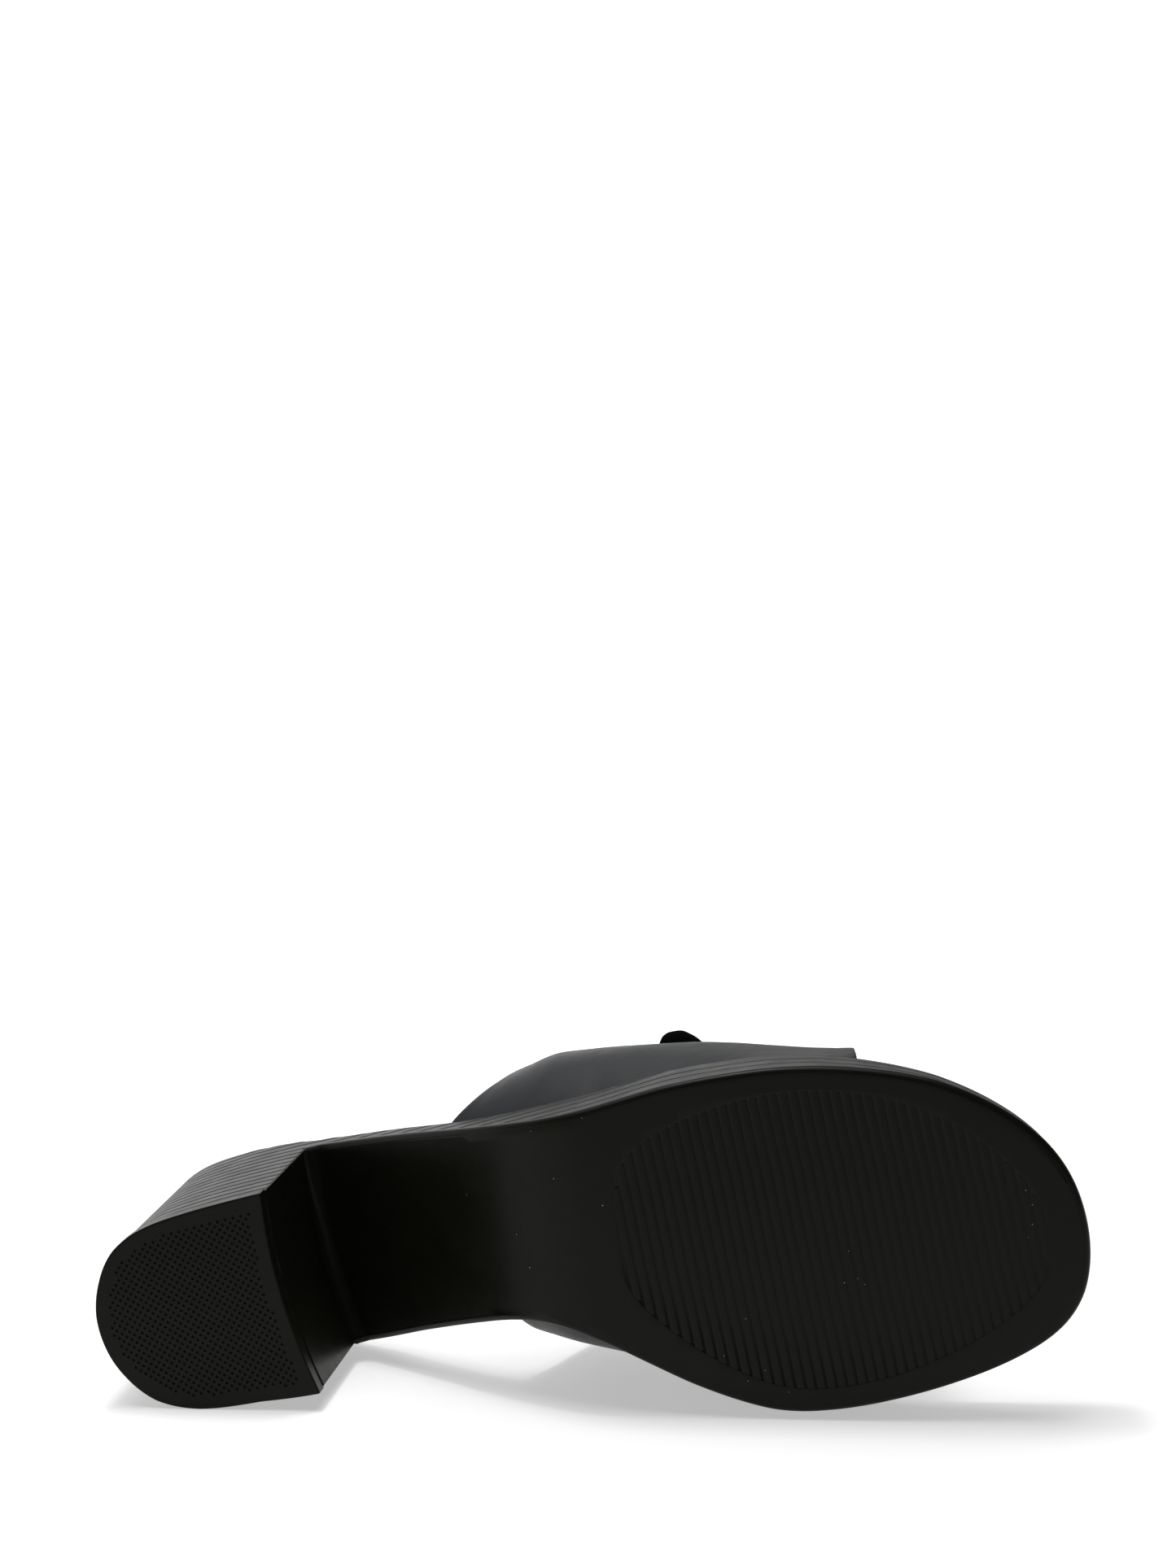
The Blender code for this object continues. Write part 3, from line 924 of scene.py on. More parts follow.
    def fillet(self, x: Array, y: Array) -> Array:
        """Hollow corner and narrow ledge against the heel's front face, with one burr.

        Args:
            x: Places along the sole.
            y: Places across it.

        Returns:
            How far the tread is lifted or let down at each place.
        """
        form = self.form
        share = np.clip((y - form.side(form.breast_outer, False)) / form.heel_width, 0.0, 1.0)
        edge = form.breast_outer + (form.breast_inner - form.breast_outer) * share
        edge = edge - form.breast_hollow * 4.0 * share * (1.0 - share)
        radius, reach = self.corner_radius(share), self.ledge_reach(share)
        level = form.tread(edge + reach)
        away = x - edge
        bent = np.sqrt(np.maximum(radius**2 - (radius - np.clip(away, 0.0, radius)) ** 2, 0.0))
        lip = np.where(away < reach, form.tread(x) - level + radius - bent, 0.0)
        along = (away / MM - self.burr_away_mm) / self.burr_length_mm
        across = (y / MM - self.burr_across_mm) / self.burr_width_mm
        return -np.maximum(lip, 0.0) - self.burr_rise * np.exp(-(along**2) - across**2)

    def outsole(self, material: Material) -> Object:
        """The tread sheet from the heel's front face to the toe, with its sunk field.

        Args:
            material: Its finish.

        Returns:
            The outsole.
        """
        form = self.form
        plan = Plan(form, End.BREAST, End.ROUND, form.gap, steps=170, near=self.near_breast)
        slab = Slab(
            plan,
            bottom=lambda x, y: form.tread(x) + self.fillet(x, y),
            top=lambda x, y: form.underside(x) - form.gap,
            amount=lambda ring, height: self.cut_reach * plan.cut,
            bottom_round=1.5 * MM,
            top_round=0.2 * MM,
            cut_round=0.25 * MM,
            round_steps=7,
        )
        sheet = slab.build(self.bench, "rubber_outsole")
        sheet = RibbedField(form).sink(self.bench, sheet)
        return self.bench.finished(sheet, material, "rubber", ["outsole"])

    def ribs(self, material: Material) -> Object:
        """The ribs of the tread, standing in the sunk field."""
        ribs = RibbedField(self.form).ribs(self.bench)
        return self.bench.finished(ribs, material, "rubber", angle=50.0)

    def pad_amount(self, ring: Array, height: Array) -> Array:
        """Edge of the footbed: clear of the vamp, and near the platform's edge elsewhere.

        Args:
            ring: The plan's ring.
            height: The height of each point, which the upright edge doesn't depend on.

        Returns:
            The distance outwards of each point.
        """
        form, blend, margin = self.form, self.pad_blend, self.pad_margin
        x = ring[:, 0]
        under_vamp = self.vamp_margin + self.vamp_wall + form.gap
        rear, front = self.vamp_back - 2.0 * blend, self.vamp_front + 2.0 * blend
        share = np.clip(np.minimum((x - rear) / blend, (front - x) / blend), 0.0, 1.0)
        inset = margin + (under_vamp - margin) * share * share * (3.0 - 2.0 * share)
        return form.flare(x) - form.wall_inset - inset

    def dish(self, x: Array, y: Array) -> Array:
        """Shallow hollow along the middle of the footbed, deepest under the heel.

        Args:
            x: Places along the sole.
            y: Places across it.

        Returns:
            How far the footbed's top is let down at each place.
        """
        outer, inner = self.form.side(x, False), self.form.side(x, True)
        half = np.maximum(0.5 * (inner - outer), 1.0 * MM)
        across = np.clip(np.abs(y - 0.5 * (inner + outer)) / half, 0.0, 1.0)
        heel = np.exp(-(((x - self.heel_dish_at) / self.heel_dish_length) ** 2))
        depth = self.dish_depth + self.heel_dish_depth * heel
        return -depth * (1.0 - across**2) ** 2 * np.clip(half / self.full_dish_half, 0.0, 1.0)

    def insole(self, material: Material) -> Object:
        """The padded footbed, slightly dished and rounded along its edge.

        Args:
            material: Its finish.

        Returns:
            The footbed.
        """
        form = self.form
        slab = Slab(
            Plan(form, End.ROUND, End.ROUND, steps=150, across=26),
            bottom=lambda x, y: form.topside(x) + form.gap,
            top=lambda x, y: form.topside(x) + form.gap + self.pad_thickness,
            amount=self.pad_amount,
            bottom_round=0.3 * MM,
            top_round=1.3 * MM,
            top_relief=self.dish,
        )
        pad = slab.build(self.bench, "padded_insole")
        pad = self.bench.finished(pad, material, "lining", ["insole"])
        return pad


def within(loop: Array, points: Array, margin: float) -> Array:
    """Tells which points lie inside a closed loop, clear of its edge.

    Args:
        loop: The loop's points, one row each.
        points: The points asked about, one row each.
        margin: How far from the edge they lie at least.

    Returns:
        True or False for each point.
    """
    start, end = loop, np.roll(loop, -1, axis=0)
    px, py = points[:, None, 0], points[:, None, 1]
    crosses = (start[None, :, 1] > py) != (end[None, :, 1] > py)
    rise = np.where(end[:, 1] == start[:, 1], 1e-12, end[:, 1] - start[:, 1])
    cut = start[None, :, 0] + (py - start[None, :, 1]) / rise[None] * (end - start)[None, :, 0]
    inside = np.sum(crosses & (px < cut), axis=1) % 2 == 1
    away = np.hypot(px - start[None, :, 0], py - start[None, :, 1]).min(axis=1)
    return inside & (away > margin)


@dataclass(frozen=True)
class Pits:
    """Square pits in slanting rows, pressed into the walking face of the top piece."""

    pitch: float = 1.4 * MM
    turn_deg: float = 35.0
    mouth: float = 0.8 * MM
    depth: float = 0.34 * MM
    border: float = 3.4 * MM
    span: int = 34

    def places(self, ring: Array) -> list[Matrix]:
        """Where the pits go.

        Args:
            ring: Outline of the top piece.

        Returns:
            One matrix for each pit.
        """
        turn = math.radians(self.turn_deg)
        along = np.array([math.cos(turn), math.sin(turn)]) * self.pitch
        across = np.array([-math.sin(turn), math.cos(turn)]) * self.pitch
        steps = np.arange(-self.span, self.span + 1)
        i, j = (grid.ravel()[:, None] for grid in np.meshgrid(steps, steps))
        points = ring.mean(axis=0) + i * along + j * across
        points = points[within(ring, points, self.border)]
        spin = Matrix.Rotation(turn, 4, "Z")
        return [Matrix.Translation((x, y, 0.0)) @ spin for x, y in points]

    def cut(self, bench: Bench, piece: Object, ring: Array) -> Object:
        """Presses the pits into the face.

        Args:
            bench: The modelling bench.
            piece: The smooth top piece.
            ring: Its outline.

        Returns:
            The pitted piece.
        """
        bpy.ops.object.select_all(action="DESELECT")
        bpy.ops.mesh.primitive_cone_add(
            vertices=4,
            radius1=self.mouth * 0.95,
            radius2=self.mouth * 0.28,
            depth=2.0 * self.depth,
            rotation=(0.0, 0.0, math.radians(45.0)),
        )
        pit = bpy.context.object
        bpy.ops.object.transform_apply(location=True, rotation=True, scale=True)
        cutter = bench.joined("pits", bench.copies(pit, self.places(ring)), merge=0.0)
        bench.applied(piece, "BOOLEAN", object=cutter, operation="DIFFERENCE", solver="EXACT")
        bpy.data.objects.remove(cutter)
        return piece


@dataclass(frozen=True)
class RibbedField:
    """The sunk field under the forepart and its slanting ribs."""

    form: SoleForm
    rear: float = 129.0 * MM
    front: float = 229.5 * MM
    margin: float = 5.8 * MM
    depth: float = 0.21 * MM
    squareness: float = 5.0
    steps: int = 96
    # The field is shallower towards the toe, where the ribs hardly show.
    worn_share: float = 0.5
    worn_from: float = 150.0 * MM
    worn_over: float = 60.0 * MM
    # Rim of the field: share of its depth, and how far out in millimetres.
    rim: tuple[tuple[float, float], ...] = (
        (-14.0, 0.5), (-0.15, 0.5), (0.05, 0.3), (0.3, 0.14), (0.6, 0.0), (1.0, -0.16),
    )
    pitch: float = 2.43 * MM
    slant_deg: float = 6.0
    centre_across: float = -9.0 * MM
    ribs_each_way: int = 26
    rib_width: float = 1.95 * MM
    rib_proud: float = -0.035 * MM
    rib_root: float = 0.1 * MM
    rib_round: float = 0.22 * MM
    rib_wear: float = 0.012 * MM
    overrun: float = 0.8 * MM
    # Half of the master rib, and the half that is stretched between its two rounded ends.
    master_half: float = 5.0 * MM
    stretched_half: float = 4.4 * MM
    # Each rib's line is followed both ways in even steps. One with few inside has no rib.
    search: float = 60.0 * MM
    search_steps: int = 1200
    fewest_steps: int = 90

    @cached_property
    def rib_height(self) -> float:
        """Height of a rib with its root, which is under the field's floor."""
        return self.depth + self.rib_proud + self.rib_root

    def loop(self) -> Array:
        """Outlines the field.

        Returns:
            Its edge points, from the rear end round the outer side.
        """
        middle, half = 0.5 * (self.front + self.rear), 0.5 * (self.front - self.rear)
        angle = np.linspace(0.0, math.pi, self.steps + 1)
        x = middle - half * np.cos(angle)
        fill = np.maximum(np.sin(angle), 0.0) ** (2.0 / self.squareness)
        sides = [self.form.inset_side(x, inner, self.margin) for inner in (False, True)]
        centre = 0.5 * (sides[0] + sides[1])
        outer, inner = (np.stack((x, centre + (s - centre) * fill), axis=1) for s in sides)
        return np.concatenate((outer, inner[-2:0:-1]))

    def sink(self, bench: Bench, sheet: Object) -> Object:
        """Sinks the field into the tread sheet, with a softened rim.

        Args:
            bench: The modelling bench.
            sheet: The smooth tread sheet.

        Returns:
            The same sheet.
        """
        loop = self.loop()
        rings = []
        for share, out in self.rim:
            ring = grown(loop, np.full(len(loop), out * MM))
            x = ring[:, 0]
            worn = np.clip((x - self.worn_from) / self.worn_over, 0.0, 1.0)
            depth = share * self.depth * (1.0 - self.worn_share * worn)
            rise = self.form.tread(x) if share > -1.0 else 0.0
            rings.append(np.column_stack((ring, depth + rise)))
        wall = np.array(rings)
        closed = np.concatenate((wall, wall[:, :1]), axis=1)
        turn = self.steps
        caps = []
        for ring in (wall[0], wall[-1]):
            outer = ring[: turn + 1]
            inner = np.concatenate((ring[:1], ring[turn:][::-1]))
            v = np.linspace(0.0, 1.0, 5)[None, :, None]
            caps.append(outer[:, None] * (1.0 - v) + inner[:, None] * v)
        sheets = [bench.sheet("field", points) for points in (closed, *caps)]
        cutter = bench.joined("field", sheets)
        bench.applied(sheet, "BOOLEAN", object=cutter, operation="DIFFERENCE", solver="EXACT")
        bpy.data.objects.remove(cutter)
        return sheet

    def master(self) -> Object:
        """Models one short rib, rounded along its walking face and at both ends.

        Returns:
            The rib, with its walking face down.
        """
        half = self.master_half
        bpy.ops.object.select_all(action="DESELECT")
        bpy.ops.mesh.primitive_cube_add(size=1.0)
        rib = bpy.context.object
        rib.scale = (self.rib_width, 2.0 * half, self.rib_height)
        bpy.ops.object.transform_apply(location=False, rotation=False, scale=True)
        mesh = bmesh.new()
        mesh.from_mesh(rib.data)
        for y in np.linspace(-0.9 * half, 0.9 * half, 9):
            geometry = mesh.verts[:] + mesh.edges[:] + mesh.faces[:]
            bmesh.ops.bisect_plane(mesh, geom=geometry, plane_co=(0, y, 0), plane_no=(0, 1, 0))
        low = [edge for edge in mesh.edges if all(v.co.z < 0.0 for v in edge.verts)]
        sharp = [edge for edge in low if edge.calc_face_angle(0.0) > 1.0]
        bmesh.ops.bevel(
            mesh, geom=sharp, offset=self.rib_round, segments=3, profile=0.5, affect="EDGES"
        )
        mesh.to_mesh(rib.data)
        mesh.free()
        return rib

    def ribs(self, bench: Bench) -> Object:
        """Sets the ribs side by side across the field.

        Args:
            bench: The modelling bench.

        Returns:
            All ribs as one piece.
        """
        loop = self.loop()
        slant = math.radians(self.slant_deg)
        across = np.array([math.cos(slant), -math.sin(slant)])
        along = np.array([math.sin(slant), math.cos(slant)])
        middle = np.array([0.5 * (self.rear + self.front), self.centre_across])
        travel = np.linspace(-self.search, self.search, self.search_steps + 1)
        master = self.master()
        half, hold = self.master_half, self.stretched_half
        base = self.depth + self.rib_root - 0.5 * self.rib_height
        made = []
        for index in range(-self.ribs_each_way, self.ribs_each_way + 1):
            centre = middle + across * self.pitch * index
            inside = travel[within(loop, centre + along * travel[:, None], 0.0)]
            if len(inside) < self.fewest_steps:
                continue
            start, end = inside.min() - self.overrun, inside.max() + self.overrun
            rib = bench.copied(master)
            co = np.empty(3 * len(rib.data.vertices), np.float32)
            rib.data.vertices.foreach_get("co", co)
            co = co.reshape(-1, 3)
            y = co[:, 1]
            share = (y + hold) / (2.0 * hold)
            spread = start + (half - hold) + share * (end - start - 2.0 * (half - hold))
            far = np.where(y < -hold, y + half + start, np.where(y > hold, y - half + end, spread))
            place = centre + along * far[:, None] + co[:, :1] * across
            wear = self.rib_wear * noise.noise(Vector((0.37 * index, 1.7, 0.0)))
            height = self.form.tread(place[:, 0]) + base + co[:, 2] + wear
            rib.data.vertices.foreach_set("co", np.column_stack((place, height)).ravel())
            made.append(rib)
        bpy.data.objects.remove(master)
        return bench.joined("tread_ribs", made, merge=0.0)


@dataclass(frozen=True)
class Crease:
    """A soft trough or ridge in the vamp, at a girth and share, with its sizes in millimetres."""

    girth: float
    share: float
    length: float
    width: float
    turn_deg: float
    rise: float


@dataclass(frozen=True)
class VampForm:
    """The vamp's outer face over the last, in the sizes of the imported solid."""

    form: SoleForm
    margin: float = 0.8 * MM
    instep: float = 66.5 * MM
    back_outer: float = 84.6 * MM
    back_inner: float = 95.0 * MM
    back_crown: float = 119.0 * MM
    front_outer: float = 188.0 * MM
    front_inner: float = 183.0 * MM
    front_hollow: float = 3.0 * MM
    back_curve: float = 1.3
    front_curve: float = 2.5
    roundness: float = 2.15
    foot_share: float = 0.14
    near: float = 0.004

    @cached_property
    def columns(self) -> dict[str, Column]:
        """The section's measures along the sole."""
        stations = [row[0] for row in VAMP_ROWS]
        scales = (self.form.ball_width, self.instep, self.form.ball_width)
        scales += (self.instep, self.instep, self.form.ball_width)
        names = ("outer", "outer_rise", "inner", "inner_rise", "crown", "crown_side")
        return {
            name: Column(stations, [row[index + 1] * scale for row in VAMP_ROWS])
            for index, (name, scale) in enumerate(zip(names, scales))
        }

    def along(self, girth: Array, share: Array) -> Array:
        """Place along the sole of points of the vamp.

        Args:
            girth: Way round, from the outer foot (0) to the inner foot (1).
            share: Way along, from the back edge (0) to the front edge (1).

        Returns:
            The places, as distances from the back of the heel.
        """
        rise = np.sin(math.pi * girth)
        foot = np.where(girth < 0.5, self.back_outer, self.back_inner)
        back = foot + (self.back_crown - foot) * rise**self.back_curve
        front = self.front_outer + (self.front_inner - self.front_outer) * girth
        front = front - self.front_hollow * rise**self.front_curve
        return back + (front - back) * share

    def point(self, girth: Array, share: Array) -> Array:
        """Points of the outer face.

        Args:
            girth: Way round, from the outer foot (0) to the inner foot (1).
            share: Way along, from the back edge (0) to the front edge (1).

        Returns:
            The points, in the last column the three axes.
        """
        form, c = self.form, self.columns
        x = self.along(girth, share)
        station = x / form.length
        inner = girth > 0.5
        up = np.where(inner, 1.0 - girth, girth)
        floor = form.topside(x) + form.gap
        wide = np.where(inner, c["inner"](station), c["outer"](station))
        rise = np.where(inner, c["inner_rise"](station), c["outer_rise"](station))
        drop = np.clip(1.0 - up / self.foot_share, 0.0, 1.0)
        inset = self.margin - form.flare(x) + form.wall_inset
        foot = np.where(inner, form.side(x, True) - inset, form.side(x, False) + inset)
        low_y, low_z = wide + (foot - wide) * drop**2, floor + rise * (1.0 - drop)
        turn = np.clip((up - self.foot_share) / (0.5 - self.foot_share), 0.0, 1.0) * math.pi / 2.0
        power = 2.0 / self.roundness
        crown_y, crown_z = c["crown_side"](station), floor + c["crown"](station)
        high_y = crown_y + (wide - crown_y) * np.maximum(np.cos(turn), 0.0) ** power
        high_z = floor + rise + (crown_z - floor - rise) * np.maximum(np.sin(turn), 0.0) ** power
        low = up < self.foot_share
        return np.stack((x, np.where(low, low_y, high_y), np.where(low, low_z, high_z)), axis=-1)

    def normal(self, girth: Array, share: Array) -> Array:
        """Outward directions of the outer face.

        Args:
            girth: Way round.
            share: Way along.

        Returns:
            The directions, each of length 1.
        """
        near = self.near
        across = self.point(np.minimum(girth + near, 1.0), share)
        across = across - self.point(np.maximum(girth - near, 0.0), share)
        along = self.point(girth, np.minimum(share + near, 1.0))
        along = along - self.point(girth, np.maximum(share - near, 0.0))
        out = np.cross(along, across)
        return out / np.linalg.norm(out, axis=-1, keepdims=True)

    def share_at(self, girth: Array, x: Array) -> Array:
        """Share of the way along at which the vamp passes x."""
        back, front = self.along(girth, 0.0 * girth), self.along(girth, 1.0 + 0.0 * girth)
        return (x - back) / (front - back)


@dataclass
class Vamp:
    """The vamp: leather with turned edges over a lining."""

    bench: Bench
    shape: VampForm
    leather: float = 1.25 * MM
    lining: float = 0.68 * MM
    around: int = 150
    steps: int = 84
    turned: float = 0.07 * MM
    # In millimetres from the edge: the turned band, and the line that its inner end draws.
    band: float = 3.2
    line_at: float = 4.3
    line_width: float = 0.7
    line_depth: float = 0.7
    plain_feet: float = 0.05
    set_back: float = 0.016
    ply_gap: float = 0.04 * MM
    creases: tuple[Crease, ...] = (
        Crease(0.20, 0.10, 26.0, 7.0, 62.0, 0.35),
        Crease(0.27, 0.30, 30.0, 8.0, 20.0, -0.30),
        Crease(0.15, 0.52, 24.0, 6.0, 8.0, 0.22),
        Crease(0.36, 0.70, 28.0, 8.0, -25.0, -0.25),
        Crease(0.55, 0.45, 34.0, 9.0, 10.0, -0.30),
        Crease(0.62, 0.72, 26.0, 7.0, -14.0, 0.25),
        Crease(0.82, 0.35, 28.0, 7.0, 18.0, -0.32),
        Crease(0.74, 0.16, 22.0, 7.0, 55.0, 0.30),
    )

    def grid(self, low: float, high: float) -> tuple[Array, Array]:
        """Girth and share of the corners of a sheet.

        Args:
            low: Share at which the sheet starts.
            high: Share at which it ends.

        Returns:
            Two tables, by way round and way along.
        """
        girth = np.linspace(0.0, 1.0, self.around + 1)[:, None]
        share = low + (high - low) * np.linspace(0.0, 1.0, self.steps + 1)[None]
        return np.broadcast_arrays(girth, share)

    def relief(self, girth: Array, share: Array, points: Array) -> Array:
        """Creases and turned edges, as a rise over the smooth last.

        Args:
            girth: Way round.
            share: Way along. Not used.
            points: The smooth points.

        Returns:
            The rise of each point.
        """
        rise = np.zeros(girth.shape)
        for crease in self.creases:
            at = self.shape.point(np.array(crease.girth), np.array(crease.share))
            away = (points - at) / MM
            turn = math.radians(crease.turn_deg)
            round_way = np.sign(girth - crease.girth) * np.hypot(away[..., 1], away[..., 2])
            u = away[..., 0] * math.cos(turn) + round_way * math.sin(turn)
            v = round_way * math.cos(turn) - away[..., 0] * math.sin(turn)
            fade = np.exp(-((u / crease.length) ** 2) - (v / crease.width) ** 2)
            rise += crease.rise * MM * fade
        back, front = self.shape.along(girth, 0.0 * girth), self.shape.along(girth, 0.0 * girth + 1)
        edge = np.minimum(points[..., 0] - back, front - points[..., 0]) / MM
        line = np.exp(-(((edge - self.line_at) / self.line_width) ** 2))
        fold = np.exp(-((edge / self.band) ** 4)) - self.line_depth * line
        feet = np.clip(np.minimum(girth, 1.0 - girth) / self.plain_feet, 0.0, 1.0)
        return (rise + self.turned * fold) * feet

    def flat_uv(self, sheet: Object, points: Array) -> None:
        """Gives a sheet a UV map in metres: round the foot, and along it.

        Args:
            sheet: The sheet, still a plain grid.
            points: The places of its corners, by row and column.
        """
        around = np.linalg.norm(np.diff(points, axis=0), axis=-1)
        around = np.concatenate((np.zeros((1, points.shape[1])), np.cumsum(around, axis=0)))
        along = np.linalg.norm(np.diff(points, axis=1), axis=-1)
        along = np.concatenate((np.zeros((points.shape[0], 1)), np.cumsum(along, axis=1)), axis=1)
        flat = np.stack((around, along), axis=-1).reshape(-1, 2).astype(np.float32)
        corners = np.empty(len(sheet.data.loops), np.int32)
        sheet.data.loops.foreach_get("vertex_index", corners)
        layer = sheet.data.uv_layers.active
        layer.data.foreach_set("uv", flat[corners].ravel())
        layer.name = "flat"

    def wall(self, name: str, low: float, high: float, depth: float, thick: float) -> Object:
        """Makes one layer of the vamp, with rounded edges.

        Args:
            name: Name of the new object.
            low: Share at which the layer starts.
            high: Share at which it ends.
            depth: How far its outer face lies under the vamp's.
            thick: Its thickness.

        Returns:
            The layer, in the shoe frame.
        """
        girth, share = self.grid(low, high)
        points = self.shape.point(girth, share)
        normals = self.shape.normal(girth, share)
        sink = self.relief(girth, share, points) - depth
        points = points + normals * sink[..., None]
        form = self.shape.form
        points[..., 2] = np.maximum(points[..., 2], form.topside(points[..., 0]) + form.gap)
        sheet = self.bench.sheet(name, points)
        self.flat_uv(sheet, points)
        self.bench.applied(sheet, "SOLIDIFY", thickness=thick, offset=-1.0, use_even_offset=True)
        return self.bench.applied(
            sheet,
            "BEVEL",
            width=0.4 * thick,
            segments=3,
            limit_method="ANGLE",
            angle_limit=math.radians(55.0),
            use_clamp_overlap=False,
        )

    def outer(self, material: Material) -> Object:
        """The leather of the vamp."""
        wall = self.wall("vamp_leather", 0.0, 1.0, 0.0, self.leather)
        return self.bench.finished(wall, material, "upper_leather", ["upper"], angle=60.0)

    def inner(self, material: Material) -> Object:
        """The lining of the vamp, set back from the turned edges."""
        low, depth = self.set_back, self.leather + self.ply_gap
        wall = self.wall("vamp_lining", low, 1.0 - low, depth, self.lining)
        return self.bench.finished(wall, material, "lining", angle=60.0)


@dataclass
class FoldedTab:
    """The small folded tab that stands off the vamp's outer side."""

    bench: Bench
    shape: VampForm
    rear: float = 136.4 * MM
    length: float = 12.3 * MM
    height: float = 4.9 * MM
    stand_off: float = 0.15 * MM
    first_girth: float = 0.222
    girth_reach: float = 0.113
    squareness: float = 8.0
    around: int = 32
    steps: int = 60
    # Stations are closer together at the rear, where the ridge rises fast.
    crowding: float = 1.35
    # Ridge of the tab: share of its length and of its height.
    ridge: tuple[tuple[float, float], ...] = (
        (0.0, 0.0),
        (0.006, 0.30),
        (0.02, 0.50),
        (0.05, 0.70),
        (0.17, 0.92),
        (0.40, 1.0),
        (0.66, 0.74),
        (0.88, 0.34),
        (1.0, 0.0),
    )
    # Folds along it: place and width as shares of the way across, and depth of its height.
    folds: tuple[tuple[float, float, float], ...] = ((0.40, 0.07, 0.16), (0.66, 0.06, 0.08))

    def build(self, material: Material) -> Object:
        """Makes the tab.

        Args:
            material: Its finish.

        Returns:
            The tab.
        """
        ridge = Column([r[0] for r in self.ridge], [r[1] * self.height for r in self.ridge])
        q = 0.5 - 0.5 * np.cos(np.linspace(0.0, math.pi, self.around + 1))
        along = np.linspace(0.0, 1.0, self.steps + 1) ** self.crowding
        way = (self.first_girth + self.girth_reach * q)[:, None]
        girth, place = np.broadcast_arrays(way, along[None])
        share = self.shape.share_at(girth, self.rear + self.length * place)
        base = self.shape.point(girth, share)
        normal = self.shape.normal(girth, share)
        full = (1.0 - np.abs(2.0 * q - 1.0) ** self.squareness) ** 0.5
        fold = np.ones(len(q))
        for at, width, depth in self.folds:
            fold -= depth * np.exp(-(((q - at) / width) ** 2))
        rise = ridge(place) * (full * fold)[:, None]
        crest = base + normal * (rise + self.stand_off)[..., None]
        under = base + normal * self.stand_off
        sheets = [self.bench.sheet("vamp_tab_top", crest), self.bench.sheet("vamp_tab_base", under)]
        tab = self.bench.joined("folded_tab", sheets)
        return self.bench.finished(tab, material, "trim", ["vamp_tab"], angle=60.0)


SPECKS = (
    # x, y on the tread and the speck's width, in millimetres
    (18.4, -16.7, 0.34),
    (27.1, -14.7, 0.34),
    (40.3, -20.1, 0.28),
    (12.5, -17.7, 0.2),
    (8.2, -12.4, 0.2),
    (38.1, -23.7, 0.2),
    (114.6, -23.3, 0.22),
    (110.0, -34.8, 0.2),
    (106.0, -1.3, 0.2),
    (126.0, -16.6, 0.3),
    (157.3, 12.9, 0.2),
    (151.4, 21.5, 0.18),
    (160.7, 25.6, 0.2),
    (156.4, 27.9, 0.18),
    (165.8, 31.2, 0.18),
    (225.4, -13.2, 0.26),
    (226.6, -9.6, 0.18),
    (226.2, -5.0, 0.2),
    (225.0, -2.0, 0.18),
    (183.0, -1.7, 0.18),
    (181.3, 5.8, 0.2),
    (184.5, 5.0, 0.18),
    (186.0, 6.5, 0.18),
    (123.1, -37.8, 0.24),
    (90.5, -17.7, 0.2),
    (103.3, -9.2, 0.18),
)


def dust(bench: Bench, form: SoleForm, material: Material) -> Object:
    """Sets the few specks of dust on the tread.

    Args:
        bench: The modelling bench.
        form: The form of the sole.
        material: Finish of the dust.

    Returns:
        All specks as one piece.
    """
    bpy.ops.object.select_all(action="DESELECT")
    bpy.ops.mesh.primitive_ico_sphere_add(subdivisions=2, radius=0.5)
    grain = bpy.context.object
    places = []
    for index, (x, y, width) in enumerate(SPECKS):
        height = float(form.tread(x * MM))
        size = Matrix.Diagonal((width * MM, width * 0.8 * MM, width * 0.4 * MM, 1.0))
        spin = Matrix.Rotation(1.7 * index, 4, "Z")
        places.append(Matrix.Translation((x * MM, y * MM, height - 0.03 * MM)) @ spin @ size)
    specks = bench.joined("dust_specks", bench.copies(grain, places), merge=0.0)
    return bench.finished(specks, material, "rubber")


def linear(code: str) -> tuple[float, float, float, float]:
    """Turns an sRGB hex colour to linear values with full alpha."""
    channels = [int(code[i : i + 2], 16) / 255.0 for i in (1, 3, 5)]
    return (*[c / 12.92 if c <= 0.04045 else ((c + 0.055) / 1.055) ** 2.4 for c in channels], 1.0)


def per_mm(size: float) -> float:
    """Scale of a pattern on metre coordinates whose features are size millimetres apart."""
    return 1.0 / (size * MM)


def add_node(
    tree: Tree, kind: str, settings: dict | None = None, inputs: dict | None = None
) -> bpy.types.Node:
    """Adds a node with its settings, and sets or links its inputs.

    Args:
        tree: The node tree.
        kind: The node's type.
        settings: Properties of the node.
        inputs: A value or another node's output for each named or numbered input.

    Returns:
        The node.
    """
    node = tree.nodes.new(kind)
    for key, value in (settings or {}).items():
        setattr(node, key, value)
    for key, value in (inputs or {}).items():
        if isinstance(value, Socket):
            tree.links.new(value, node.inputs[key])
        else:
            node.inputs[key].default_value = value
    return node


